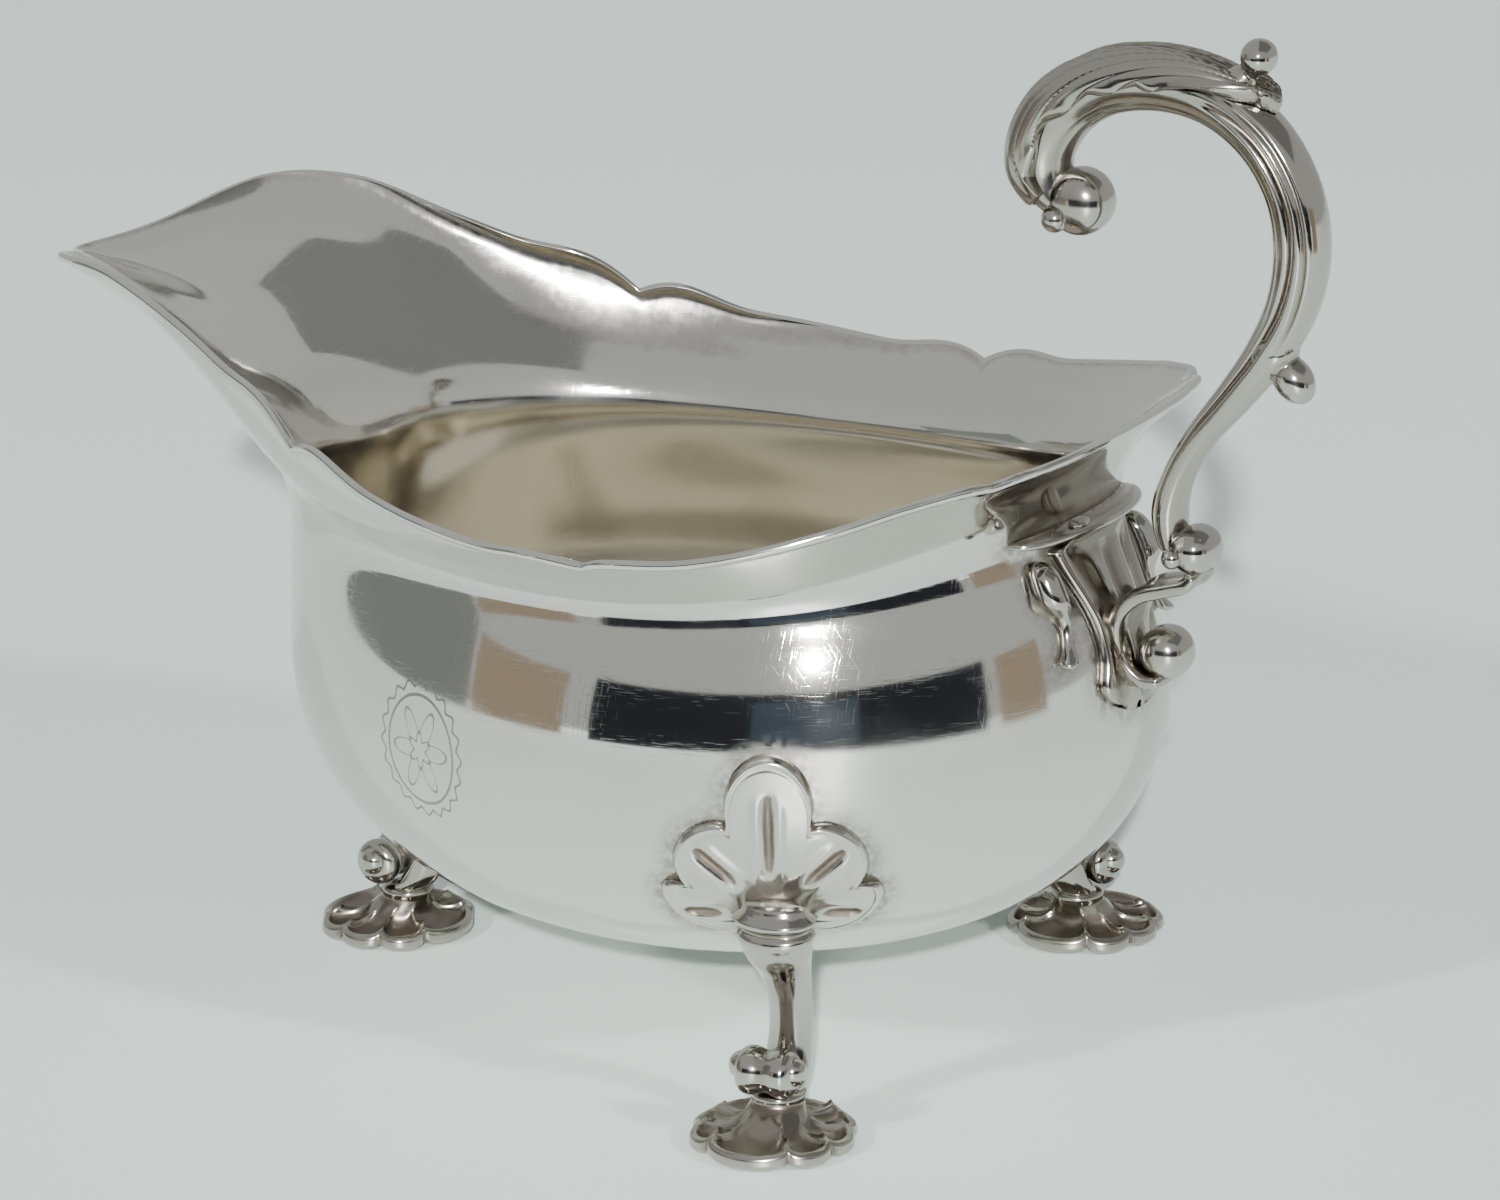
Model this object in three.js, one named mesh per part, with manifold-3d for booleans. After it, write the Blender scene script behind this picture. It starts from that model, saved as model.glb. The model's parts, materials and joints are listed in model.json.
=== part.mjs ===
// A three-footed silver sauce boat with a flying double-scroll handle.
// Millimetres, +Z up. The origin is on the table under the middle of the boat's overall box,
// the spout points along -X and the handle along +X, and the boat is the same on both sides of Y = 0.

import * as THREE from 'three';
import { ParametricGeometry } from 'three/addons/geometries/ParametricGeometry.js';
import { NURBSCurve } from 'three/addons/curves/NURBSCurve.js';
import * as BufferGeometryUtils from 'three/addons/utils/BufferGeometryUtils.js';
import Module from 'manifold-3d';

const wasm = await Module();
wasm.setup();

// ---- driving dimensions -------------------------------------------------------------------

const WALL = 1.2; // raised silver sheet of the bowl
const GAP = 0.3; // solder gap between neighbouring pieces
const BOWL_AXIS_X = 11; // the bowl's rings are centred on this upright axis
const SPLINE_DEGREE = 3;
const BOWL_AROUND = 60; // columns round the bowl
const BOWL_ALONG = 20; // rows from the middle of the bottom to the rim

// Rings of the bowl from the bottom up: half length to the front, half length to the back,
// half width, and the height at the front, at the sides and at the back.
const BOWL_RINGS = [
  [0, 0, 0, 15, 15, 15],
  [14, 14, 12, 15, 15, 15],
  [30, 30, 26, 16.4, 16.4, 16.4],
  [44, 43, 37.5, 20.5, 20.5, 20.5],
  [56, 54.5, 46, 29, 29, 29],
  [63, 61, 51, 43, 43, 43],
  [62.5, 60.5, 50, 56, 56, 56],
  [62.5, 57, 46, 68, 66.5, 68],
  [66, 51.5, 44, 79.5, 71, 76.5],
  [76, 55.5, 52, 91.5, 75, 85.5],
];

// The rim before its scallops, one point every ten degrees from the back to the tip of the spout.
const RIM_STATIONS = [
  [72, 0, 89.8],
  [71.8, 9, 89.8],
  [71, 18, 89.6],
  [67.8, 28.3, 89],
  [60, 38, 87.6],
  [51.5, 46, 84.6],
  [41, 52.5, 81.6],
  [30, 55.4, 79.6],
  [18, 56.2, 78.8],
  [6, 55.8, 79.4],
  [-6, 54, 81.2],
  [-17, 50, 83.4],
  [-28, 45.5, 86.4],
  [-40, 40, 91.8],
  [-54, 35, 97.6],
  [-69, 31.8, 102.6],
  [-82.5, 26.5, 101.8],
  [-91.5, 9.5, 96.2],
  [-99.2, 0, 93.4],
];

// Brackets cut in the rim: angle from the back, reach to each side, and height of the two humps.
const RIM_CUSPS = [
  { angle: 78, reach: 13, hump: 3.2 },
  { angle: 121, reach: 14, hump: 3.4 },
  { angle: 31, reach: 9, hump: 1.2 },
];
const RIM_WAVE_FROM = 0.8; // the scallops fade out below this fraction of the way up

// Handle: the middle line of the big scroll in the plane Y = 0, with half depth and half width.
const SCROLL_LINE = [
  { x: 60.4, z: 121.5, depth: 3.2, width: 4.2 },
  { x: 58.8, z: 126.6, depth: 3.7, width: 4.8 },
  { x: 61.4, z: 132.2, depth: 3.9, width: 5.0 },
  { x: 67, z: 136, depth: 3.7, width: 4.9 },
  { x: 75, z: 137.4, depth: 3.6, width: 4.7 },
  { x: 83, z: 136, depth: 3.6, width: 4.6 },
  { x: 89.7, z: 131.7, depth: 3.8, width: 4.6 },
  { x: 94, z: 125, depth: 3.8, width: 4.6 },
  { x: 95.3, z: 117.5, depth: 3.8, width: 4.5 },
  { x: 94, z: 110, depth: 3.5, width: 4.3 },
  { x: 90.6, z: 103.3, depth: 3.0, width: 4.0 },
  { x: 86, z: 97, depth: 2.5, width: 3.6 },
  { x: 81.2, z: 91, depth: 2.1, width: 3.4 },
  { x: 77.8, z: 85, depth: 2.1, width: 3.4 },
  { x: 76.6, z: 79.6, depth: 2.5, width: 3.6 },
  { x: 78.2, z: 75.6, depth: 2.0, width: 3.6 },
];
const SCROLL_GROOVE = 0.32; // depth of the side grooves as a share of the half width
const LEAF_END = 0.36; // the leaf covers the scroll from its inner end to here
const LEAF_THICKNESS = 1.3;

const INNER_VOLUTE = { x: 63.5, z: 120.6, radius: 4.5, width: 4.4 };
const MIDDLE_VOLUTE = { x: 80.5, z: 75.4, radius: 3.2, width: 4.4 };
const LOWER_VOLUTE = { x: 76.2, z: 60.5, radius: 3.6, width: 4 };
const THUMB_ROLL = { x: 89.1, z: 142.4, radius: 2.4, width: 3 };
const SPUR = { from: [92.6, 103.4], to: [96.2, 98.2], radius: 1.9 };

// The lower scroll from under the middle volute to the bowl and round to the lower volute.
const LOWER_STRAP_LINE = [
  { x: 82.4, z: 70.2, depth: 1.1, width: 3.6 },
  { x: 78.4, z: 70.2, depth: 1.2, width: 4.0 },
  { x: 74, z: 68.8, depth: 1.3, width: 4.4 },
  { x: 71.2, z: 65, depth: 1.4, width: 4.6 },
  { x: 71.4, z: 60.2, depth: 1.3, width: 4.4 },
  { x: 74.2, z: 55.6, depth: 1.1, width: 4.0 },
];

// Escutcheon on the back of the bowl.
const ESCUTCHEON_TOP = 76;
const ESCUTCHEON_BOTTOM = 53;
const ESCUTCHEON_HALF_WIDTHS = [10.6, 9.4, 8.2, 7.4, 7.6, 8.6, 4.6];
const ESCUTCHEON_THICKNESS = 1.3;
const BAR_HALF_LENGTH = 16.5;
const BAR_HEIGHT = 78.2;
const BAR_END_DROP = 1;
const BAR_THICKNESS = 1.6;
const BAR_DEPTH = 4.6;
const BAR_END_DEPTH = 2.9;
const SIDE_SCROLL_LINE = [
  { y: 13, z: 74.8, radius: 1.8 },
  { y: 13.2, z: 70, radius: 2 },
  { y: 12.2, z: 67.4, radius: 1 },
  { y: 12.8, z: 64, radius: 0.9 },
  { y: 14.2, z: 61.2, radius: 1.5 },
];

// Feet: the middle of each pad on the table, and the way the foot points, in degrees from +X.
const FEET = [
  { name: 'front', x: -47.8, y: 0, points: 180, kneeFaces: 180 },
  { name: 'near', x: 40.7, y: -44.8, points: -84, kneeFaces: -64 },
  { name: 'far', x: 40.7, y: 44.8, points: 84, kneeFaces: 64 },
];
const PAD_RADIUS = 11.3;
const PAD_LOBES = 9;
const PAD_LOBE_DEPTH = 0.5;
const PAD_EDGE = 2.2;
const PAD_NECK_OFFSET = -2.6;
const PAD_NECK_TOP = 6.4;
const ANKLE = { out: 1.4, z: 10.4, radius: 4, width: 4.4 };
const LEG_LINE = [
  { out: -2.2, z: 31.8, width: 4.6, depth: 3.2 },
  { out: -2.2, z: 28.2, width: 6, depth: 4 },
  { out: -4.6, z: 23.8, width: 4.8, depth: 3.4 },
  { out: -6.2, z: 18.8, width: 3.5, depth: 2.8 },
  { out: -6.6, z: 14, width: 3.3, depth: 2.8 },
  { out: -4.8, z: 10, width: 3.5, depth: 3 },
];
const KNEE_HUB_HEIGHT = 31;
// Edge of the shell seen from the front: the notches as [angle, reach], and each lobe's reach between.
const KNEE_NOTCHES = [
  [-14, 9],
  [34, 11.4],
  [68, 13],
  [112, 13],
  [146, 11.4],
  [194, 9],
];
const KNEE_LOBES = [15.4, 16.8, 22.9, 16.8, 15.4];
const KNEE_LOBE_SHARPNESS = 0.75;
const KNEE_FOOT_REACH = 6; // reach below the hub, behind the leg
const KNEE_THICKNESS = 1.5;

const SILVER = new THREE.Color(0xc9c7c0);
const TARNISHED = new THREE.Color(0xb5b0a6);

// ---- helpers ------------------------------------------------------------------------------

const radians = THREE.MathUtils.degToRad;

function withoutSlivers(geometry) {
  const { index } = geometry;
  const kept = [];
  for (let i = 0; i < index.count; i += 3) {
    const [a, b, c] = [index.getX(i), index.getX(i + 1), index.getX(i + 2)];
    if (a !== b && b !== c && c !== a) {
      kept.push(a, b, c);
    }
  }
  geometry.setIndex(kept);
  return geometry;
}

function signedVolume(geometry) {
  const { index, attributes } = geometry;
  const [a, b, c] = [new THREE.Vector3(), new THREE.Vector3(), new THREE.Vector3()];
  let volume = 0;
  for (let i = 0; i < index.count; i += 3) {
    a.fromBufferAttribute(attributes.position, index.getX(i));
    b.fromBufferAttribute(attributes.position, index.getX(i + 1));
    c.fromBufferAttribute(attributes.position, index.getX(i + 2));
    volume += a.dot(b.cross(c)) / 6;
  }
  return volume;
}

function merged(geometry) {
  geometry.deleteAttribute('normal');
  geometry.deleteAttribute('uv');
  return withoutSlivers(BufferGeometryUtils.mergeVertices(geometry, 1e-4));
}

// A closed body from a surface that is closed in u and ends in a point at v = 0 and v = 1.
function closedSurface(pointAt, around, along) {
  const geometry = merged(new ParametricGeometry(pointAt, around, along));
  if (signedVolume(geometry) < 0) {
    const kept = geometry.index.array;
    for (let i = 0; i < kept.length; i += 3) {
      [kept[i], kept[i + 1]] = [kept[i + 1], kept[i]];
    }
  }
  return geometry;
}

// A body of closed sections, sectionAt(u, v), with a flat cap over the first and the last one.
function cappedLoft(sectionAt, around, along) {
  const middle = (v) => {
    const sum = new THREE.Vector3();
    for (let i = 0; i < around; i += 1) {
      sum.add(sectionAt(i / around, v));
    }
    return sum.divideScalar(around);
  };
  const ends = [middle(0), middle(1)];
  const rows = along + 2;
  const pointAt = (u, v, target) => {
    const row = Math.round(v * rows);
    if (row === 0 || row === rows) {
      target.copy(ends[row === 0 ? 0 : 1]);
    } else {
      target.copy(sectionAt(u % 1, (row - 1) / along));
    }
  };
  return closedSurface(pointAt, around, rows);
}

function toSolid(geometry) {
  return new wasm.Manifold(
    new wasm.Mesh({
      numProp: 3,
      vertProperties: Float32Array.from(geometry.attributes.position.array),
      triVerts: Uint32Array.from(geometry.index.array),
    }),
  );
}

function fromSolid(solid) {
  const mesh = solid.getMesh();
  const geometry = new THREE.BufferGeometry();
  geometry.setAttribute('position', new THREE.BufferAttribute(mesh.vertProperties, 3));
  geometry.setIndex(new THREE.BufferAttribute(mesh.triVerts, 1));
  return geometry;
}

// The geometry with each cutter taken away from it.
function trimmed(geometry, cutters) {
  const solid = cutters.reduce((left, cutter) => left.subtract(toSolid(cutter)), toSolid(geometry));
  return fromSolid(solid);
}

const group = new THREE.Group();
group.name = 'sauce_boat';

function addPiece(name, geometry, color = SILVER) {
  const material = new THREE.MeshStandardMaterial({ color, roughness: 0.16, metalness: 1 });
  const mesh = new THREE.Mesh(geometry, material);
  mesh.name = name;
  group.add(mesh);
  return mesh;
}

// ---- bowl ---------------------------------------------------------------------------------

const rimCurve = new THREE.CatmullRomCurve3(
  [
    ...RIM_STATIONS,
    ...RIM_STATIONS.slice(1, -1).reverse().map(([x, y, z]) => [x, -y, z]),
  ].map(([x, y, z]) => new THREE.Vector3(x, y, z)),
  true,
  'catmullrom',
);

// Height of a scallop: nought at the cusp, a hump beside it, and nought again at its reach.
function rimWave(turn) {
  const angle = Math.min(turn, 1 - turn) * 360;
  return RIM_CUSPS.reduce((sum, cusp) => {
    const t = Math.min(1, Math.abs(angle - cusp.angle) / cusp.reach);
    return sum + cusp.hump * (Math.sin(Math.PI * t) * (1 - t) - 0.3 * (1 - t) ** 2);
  }, 0);
}

function ringPoint([front, back, side, zFront, zSide, zBack], turn) {
  const angle = turn * 2 * Math.PI;
  const [c, s] = [Math.cos(angle), Math.sin(angle)];
  const reach = c < 0 ? front : back;
  const lift = (c < 0 ? zFront : zBack) - zSide;
  const z = zSide + lift * Math.abs(c) ** 2.2;
  return new THREE.Vector4(BOWL_AXIS_X + reach * c, side * s, z, 1);
}

function meridian(turn) {
  const rim = rimCurve.getPoint(turn % 1);
  const controls = BOWL_RINGS.map((ring) => ringPoint(ring, turn));
  controls.push(new THREE.Vector4(rim.x, rim.y, rim.z, 1));
  const inner = controls.length - SPLINE_DEGREE;
  const knots = [
    ...Array(SPLINE_DEGREE).fill(0),
    ...Array.from({ length: inner + 1 }, (_, i) => i / inner),
    ...Array(SPLINE_DEGREE).fill(1),
  ];
  return new NURBSCurve(SPLINE_DEGREE, knots, controls);
}

const meridians = Array.from({ length: BOWL_AROUND }, (_, i) => meridian(i / BOWL_AROUND));

function bowlPoint(column, up) {
  const turn = ((column % BOWL_AROUND) + BOWL_AROUND) % BOWL_AROUND;
  const curve = meridians[turn];
  const fade = THREE.MathUtils.smoothstep(up, RIM_WAVE_FROM, 1);
  const slide = curve.getTangent(up).multiplyScalar(rimWave(turn / BOWL_AROUND) * fade);
  return curve.getPoint(up).add(slide);
}

// The outer face moved along its normals, outward for a positive distance.
function bowlOffset(column, up, distance) {
  const step = 1e-3;
  const here = bowlPoint(column, up);
  if (up < step) {
    return here.add(new THREE.Vector3(0, 0, -distance));
  }
  const below = bowlPoint(column, up - step);
  const along = here.clone().sub(below);
  const across = bowlPoint(column + 1, up).sub(bowlPoint(column - 1, up));
  return here.add(across.cross(along).normalize().multiplyScalar(distance));
}

const columnOf = (u) => Math.round(u * BOWL_AROUND);

function bowlGeometry() {
  const pointAt = (u, v, target) => {
    const outside = v <= 0.5;
    const up = outside ? v * 2 : (1 - v) * 2;
    target.copy(bowlOffset(columnOf(u), up, outside ? 0 : -WALL));
  };
  return closedSurface(pointAt, BOWL_AROUND, BOWL_ALONG * 2);
}

// The bowl as one full body, grown by the solder gap, used to trim what is soldered to it.
function bowlClearance() {
  const lid = new THREE.Vector3(0, 0, 140);
  const pointAt = (u, v, target) => {
    const row = Math.round(v * (BOWL_ALONG + 1));
    target.copy(row > BOWL_ALONG ? lid : bowlOffset(columnOf(u), row / BOWL_ALONG, GAP));
  };
  return closedSurface(pointAt, BOWL_AROUND, BOWL_ALONG + 1);
}

const body = addPiece('body', bowlGeometry());
body.updateMatrixWorld();
const caster = new THREE.Raycaster();

// Where a level line at height z, offset sideways from the bowl's middle line, meets the outside.
function onBowl(facing, sideways, z, lift, origin = [BOWL_AXIS_X, 0]) {
  const out = new THREE.Vector3(Math.cos(facing), Math.sin(facing), 0);
  const side = new THREE.Vector3(-out.y, out.x, 0);
  const start = new THREE.Vector3(origin[0], origin[1], z).addScaledVector(side, sideways);
  caster.set(start.clone().addScaledVector(out, 150), out.clone().negate());
  const [hit] = caster.intersectObject(body);
  return hit.point.addScaledVector(out, lift);
}

// ---- escutcheon ---------------------------------------------------------------------------

const BACK = 0; // the escutcheon faces +X

function escutcheonHalfWidth(v) {
  const at = v * (ESCUTCHEON_HALF_WIDTHS.length - 1);
  const i = Math.min(ESCUTCHEON_HALF_WIDTHS.length - 2, Math.floor(at));
  return THREE.MathUtils.lerp(ESCUTCHEON_HALF_WIDTHS[i], ESCUTCHEON_HALF_WIDTHS[i + 1], at - i);
}

// A plate that follows the bowl, from its top edge down, between two lifts off the bowl.
function plateGeometry(inner, outer, grow = 0) {
  return cappedLoft(
    (u, v) => {
      const z = THREE.MathUtils.lerp(ESCUTCHEON_TOP + grow, ESCUTCHEON_BOTTOM - grow, v);
      const across = u < 0.5 ? 1 - 4 * u : 4 * u - 3;
      const half = escutcheonHalfWidth(v) + grow;
      return onBowl(BACK, across * half, z, u < 0.5 ? outer : inner);
    },
    16,
    12,
  );
}

function barGeometry() {
  return cappedLoft(
    (u, v) => {
      const y = THREE.MathUtils.lerp(-BAR_HALF_LENGTH, BAR_HALF_LENGTH, v);
      const angle = u * 2 * Math.PI;
      const outward = 0.5 + 0.5 * Math.cos(angle);
      const end = (2 * v - 1) ** 2;
      const z = BAR_HEIGHT - BAR_END_DROP * end + (BAR_THICKNESS / 2) * Math.sin(angle);
      const lift = THREE.MathUtils.lerp(GAP, THREE.MathUtils.lerp(BAR_DEPTH, BAR_END_DEPTH, end), outward);
      return onBowl(BACK, y, z, lift);
    },
    10,
    16,
  );
}

// The scroll down one side of the plate, from a roll under the bar to a small ball.
function sideScrollGeometry(side) {
  const lift = 0.4;
  const stops = SIDE_SCROLL_LINE.map(({ y, z, radius }) => {
    const point = onBowl(BACK, side * y, z, GAP + radius + lift);
    return { point, radius };
  });
  const path = new THREE.CatmullRomCurve3(stops.map(({ point }) => point));
  return cappedLoft(
    (u, v) => {
      const at = v * (stops.length - 1);
      const i = Math.min(stops.length - 2, Math.floor(at));
      const radius = THREE.MathUtils.lerp(stops[i].radius, stops[i + 1].radius, at - i);
      const angle = u * 2 * Math.PI;
      const point = path.getPoint(v);
      point.x += radius * Math.cos(angle);
      point.y += radius * Math.sin(angle);
      return point;
    },
    12,
    14,
  );
}

const plateRoom = plateGeometry(-GAP, ESCUTCHEON_THICKNESS + GAP * 2, GAP);
addPiece('escutcheon_plate', plateGeometry(GAP, GAP + ESCUTCHEON_THICKNESS), TARNISHED);
addPiece('escutcheon_bar', barGeometry());
addPiece('escutcheon_scroll_near', trimmed(sideScrollGeometry(-1), [plateRoom]));
addPiece('escutcheon_scroll_far', trimmed(sideScrollGeometry(1), [plateRoom]));

// ---- handle -------------------------------------------------------------------------------

// A strap along a line in the plane Y = 0. sectionAt(u, stop) gives [depth, width] there.
function strap(line, sectionAt, around, along, from = 0, to = 1) {
  const path = new THREE.CatmullRomCurve3(line.map(({ x, z }) => new THREE.Vector3(x, 0, z)));
  const stopAt = (t) => {
    const at = t * (line.length - 1);
    const i = Math.min(line.length - 2, Math.floor(at));
    const blend = (key) => THREE.MathUtils.lerp(line[i][key], line[i + 1][key], at - i);
    return { depth: blend('depth'), width: blend('width'), t };
  };
  return cappedLoft(
    (u, v) => {
      const t = THREE.MathUtils.lerp(from, to, v);
      const tangent = path.getTangent(t);
      const outward = new THREE.Vector3(-tangent.z, 0, tangent.x);
      const [depth, width] = sectionAt(u * 2 * Math.PI, stopAt(t), v);
      const point = path.getPoint(t).addScaledVector(outward, depth);
      point.y += width;
      return point;
    },
    around,
    along,
  );
}

// Ribbed section: a narrow inner roll, a groove along each side, and a full rounded back.
function ribbedSection(angle, { depth, width }) {
  const groove = 1 - SCROLL_GROOVE * Math.exp(-(((Math.cos(angle) + 0.35) / 0.3) ** 2));
  const roll = 0.82 + 0.18 * Math.cos(angle);
  return [depth * Math.cos(angle), width * Math.sin(angle) * groove * roll];
}

function grownSection(angle, stop) {
  const [depth, width] = ribbedSection(angle, stop);
  const length = Math.hypot(depth, width) || 1;
  return [depth + (GAP * depth) / length, width + (GAP * width) / length];
}

function leafSection(angle, { depth, width }, v) {
  const share = angle / (2 * Math.PI);
  const outside = share < 0.5;
  const sweep = radians(100) * (outside ? 1 - 4 * share : 4 * share - 3);
  const taper = THREE.MathUtils.lerp(1, 0.75, v);
  const lift = GAP + (outside ? LEAF_THICKNESS : 0);
  return [(depth + lift) * Math.cos(sweep * taper), (width + lift) * Math.sin(sweep * taper)];
}

// A barrel-shaped roll lying along Y, with a button at each end.
function rollProfile({ radius, width }, grow) {
  const [r, w] = [radius + grow, width + grow];
  return [
    [0, -w - 0.7],
    [r * 0.3, -w - 0.5],
    [r * 0.42, -w],
    [r * 0.8, -w * 0.92],
    [r * 0.96, -w * 0.6],
    [r, 0],
    [r * 0.96, w * 0.6],
    [r * 0.8, w * 0.92],
    [r * 0.42, w],
    [r * 0.3, w + 0.5],
    [0, w + 0.7],
  ].map(([x, y]) => new THREE.Vector2(x, y));
}

function roll(spec, grow = 0) {
  const geometry = merged(new THREE.LatheGeometry(rollProfile(spec, grow), 16));
  return geometry.translate(spec.x, 0, spec.z);
}

const [innerRoom, middleRoom, lowerRoom, thumbRoom] = [
  INNER_VOLUTE,
  MIDDLE_VOLUTE,
  LOWER_VOLUTE,
  THUMB_ROLL,
].map((spec) => roll(spec, GAP));
const bowlRoom = bowlClearance();

addPiece('handle_scroll', trimmed(strap(SCROLL_LINE, ribbedSection, 20, 40), [innerRoom, middleRoom]));
const leaf = strap(SCROLL_LINE, leafSection, 20, 18, 0.03, LEAF_END);
addPiece('handle_leaf', trimmed(leaf, [innerRoom, thumbRoom]), TARNISHED);
addPiece('inner_volute', roll(INNER_VOLUTE));
addPiece('middle_volute', roll(MIDDLE_VOLUTE));
addPiece('lower_volute', roll(LOWER_VOLUTE));
addPiece('thumb_roll', roll(THUMB_ROLL));

// A short bud leaning off the scroll's outer curve.
function spurGeometry() {
  const [from, to] = [SPUR.from, SPUR.to].map(([x, z]) => new THREE.Vector3(x, 0, z));
  const lean = to.clone().sub(from).normalize();
  const across = new THREE.Vector3(-lean.z, 0, lean.x);
  return cappedLoft(
    (u, v) => {
      const angle = u * 2 * Math.PI;
      const radius = SPUR.radius * (0.75 + 0.4 * Math.sin(Math.PI * Math.min(1, v * 1.15)));
      const point = from.clone().lerp(to, v).addScaledVector(across, radius * Math.cos(angle));
      point.y += radius * 1.2 * Math.sin(angle);
      return point;
    },
    12,
    6,
  );
}

const flatStrap = (angle, { depth, width }) => [depth * Math.cos(angle), width * Math.sin(angle)];
const scrollRoom = strap(SCROLL_LINE, grownSection, 20, 40);
addPiece('handle_spur', trimmed(spurGeometry(), [scrollRoom]));
const lowerStrap = strap(LOWER_STRAP_LINE, flatStrap, 14, 18);
addPiece('lower_scroll', trimmed(lowerStrap, [middleRoom, lowerRoom, bowlRoom, plateRoom]));

// ---- feet ---------------------------------------------------------------------------------

// A point at a foot: out from the middle of its pad, sideways, and up.
function atFoot(foot, out, sideways, z) {
  const angle = radians(foot.points);
  const [c, s] = [Math.cos(angle), Math.sin(angle)];
  return new THREE.Vector3(foot.x + out * c - sideways * s, foot.y + out * s + sideways * c, z);
}

function kneeReach(angle) {
  const degrees = THREE.MathUtils.radToDeg(angle);
  const i = KNEE_NOTCHES.findIndex(([notch], n) => n > 0 && degrees < notch) - 1;
  if (i < 0 || degrees < KNEE_NOTCHES[0][0]) {
    return KNEE_FOOT_REACH;
  }
  const [[from, before], [to, after]] = [KNEE_NOTCHES[i], KNEE_NOTCHES[i + 1]];
  const t = (degrees - from) / (to - from);
  const valley = THREE.MathUtils.lerp(before, after, t);
  return valley + (KNEE_LOBES[i] - (before + after) / 2) * Math.sin(Math.PI * t) ** KNEE_LOBE_SHARPNESS;
}

// The shell over each leg: scalloped at the top and following the bowl, which trims its inner face.
function kneeGeometry(foot, grow = 0) {
  const facing = radians(foot.kneeFaces);
  const hub = atFoot(foot, 0, 0, KNEE_HUB_HEIGHT);
  const axis = new THREE.Vector3(-Math.sin(facing), Math.cos(facing), 0);
  const hubSide = hub.clone().setX(hub.x - BOWL_AXIS_X).dot(axis);
  const rings = 6;
  const pointAt = (u, v, target) => {
    const front = v < 0.5;
    const share = front ? v * 2 : (1 - v) * 2;
    const angle = ((u % 1) - 0.25) * 2 * Math.PI;
    const reach = (kneeReach(angle) + grow) * share;
    const crown = 0.6 * (1 - share ** 4) + (share > 0.7 && share < 1 ? 0.5 : 0);
    const depth = share === 1 ? KNEE_THICKNESS / 2 : KNEE_THICKNESS + crown;
    const lift = front || share === 1 ? GAP + depth + grow : -GAP;
    const z = KNEE_HUB_HEIGHT + reach * Math.sin(angle);
    target.copy(onBowl(facing, hubSide - reach * Math.cos(angle), z, lift));
  };
  return closedSurface(pointAt, 52, rings);
}

function legGeometry(foot) {
  const path = new THREE.CatmullRomCurve3(LEG_LINE.map(({ out, z }) => atFoot(foot, out, 0, z)));
  return cappedLoft(
    (u, v) => {
      const at = v * (LEG_LINE.length - 1);
      const i = Math.min(LEG_LINE.length - 2, Math.floor(at));
      const width = THREE.MathUtils.lerp(LEG_LINE[i].width, LEG_LINE[i + 1].width, at - i);
      const depth = THREE.MathUtils.lerp(LEG_LINE[i].depth, LEG_LINE[i + 1].depth, at - i);
      const tangent = path.getTangent(v);
      const side = atFoot(foot, 0, 1, 0).sub(atFoot(foot, 0, 0, 0));
      const front = side.clone().cross(tangent).normalize();
      const angle = u * 2 * Math.PI;
      return path
        .getPoint(v)
        .addScaledVector(side, width * Math.sin(angle))
        .addScaledVector(front, depth * Math.cos(angle));
    },
    12,
    12,
  );
}

function ankleGeometry(foot, grow = 0) {
  const spec = { radius: ANKLE.radius, width: ANKLE.width, x: 0, z: 0 };
  const centre = atFoot(foot, ANKLE.out, 0, ANKLE.z);
  return roll(spec, grow)
    .rotateZ(radians(foot.points))
    .translate(centre.x, centre.y, centre.z);
}

// A round fluted pad whose top rises to a neck under the ankle scroll.
function padGeometry(foot) {
  const profile = [
    [0, 0],
    [1, 0],
    [1, PAD_EDGE * 0.6],
    [0.94, PAD_EDGE],
    [0.78, PAD_EDGE * 0.85],
    [0.55, PAD_EDGE * 1.15],
    [0.32, PAD_NECK_TOP * 0.65],
    [0.26, PAD_NECK_TOP],
    [0, PAD_NECK_TOP],
  ];
  const rows = profile.length - 1;
  const pointAt = (u, v, target) => {
    const angle = u * 2 * Math.PI;
    const [share, z] = profile[Math.round(v * rows)];
    const lobe = PAD_LOBE_DEPTH * Math.cos(PAD_LOBES * angle) * share ** 2;
    const reach = PAD_RADIUS * share + lobe;
    const lean = PAD_NECK_OFFSET * THREE.MathUtils.smoothstep(z, PAD_EDGE, PAD_NECK_TOP);
    target.copy(atFoot(foot, lean + reach * Math.cos(angle), reach * Math.sin(angle), z));
  };
  return closedSurface(pointAt, PAD_LOBES * 4, rows);
}

for (const foot of FEET) {
  const leg = legGeometry(foot);
  const ankleRoom = ankleGeometry(foot, GAP);
  addPiece(`knee_shell_${foot.name}`, trimmed(kneeGeometry(foot), [bowlRoom]));
  addPiece(`leg_${foot.name}`, trimmed(leg, [ankleRoom, bowlRoom, kneeGeometry(foot, GAP)]));
  addPiece(`ankle_scroll_${foot.name}`, ankleGeometry(foot));
  addPiece(`foot_pad_${foot.name}`, trimmed(padGeometry(foot), [ankleRoom]), TARNISHED);
}

export default group;
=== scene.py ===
"""Silver sauce boat on three feet: the visual model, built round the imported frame."""

import json
import logging
import math
from dataclasses import dataclass, field
from enum import Enum

import bmesh
import bpy
import numpy as np
from mathutils import Matrix, Vector
from mathutils.bvhtree import BVHTree
from mathutils.kdtree import KDTree

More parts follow.
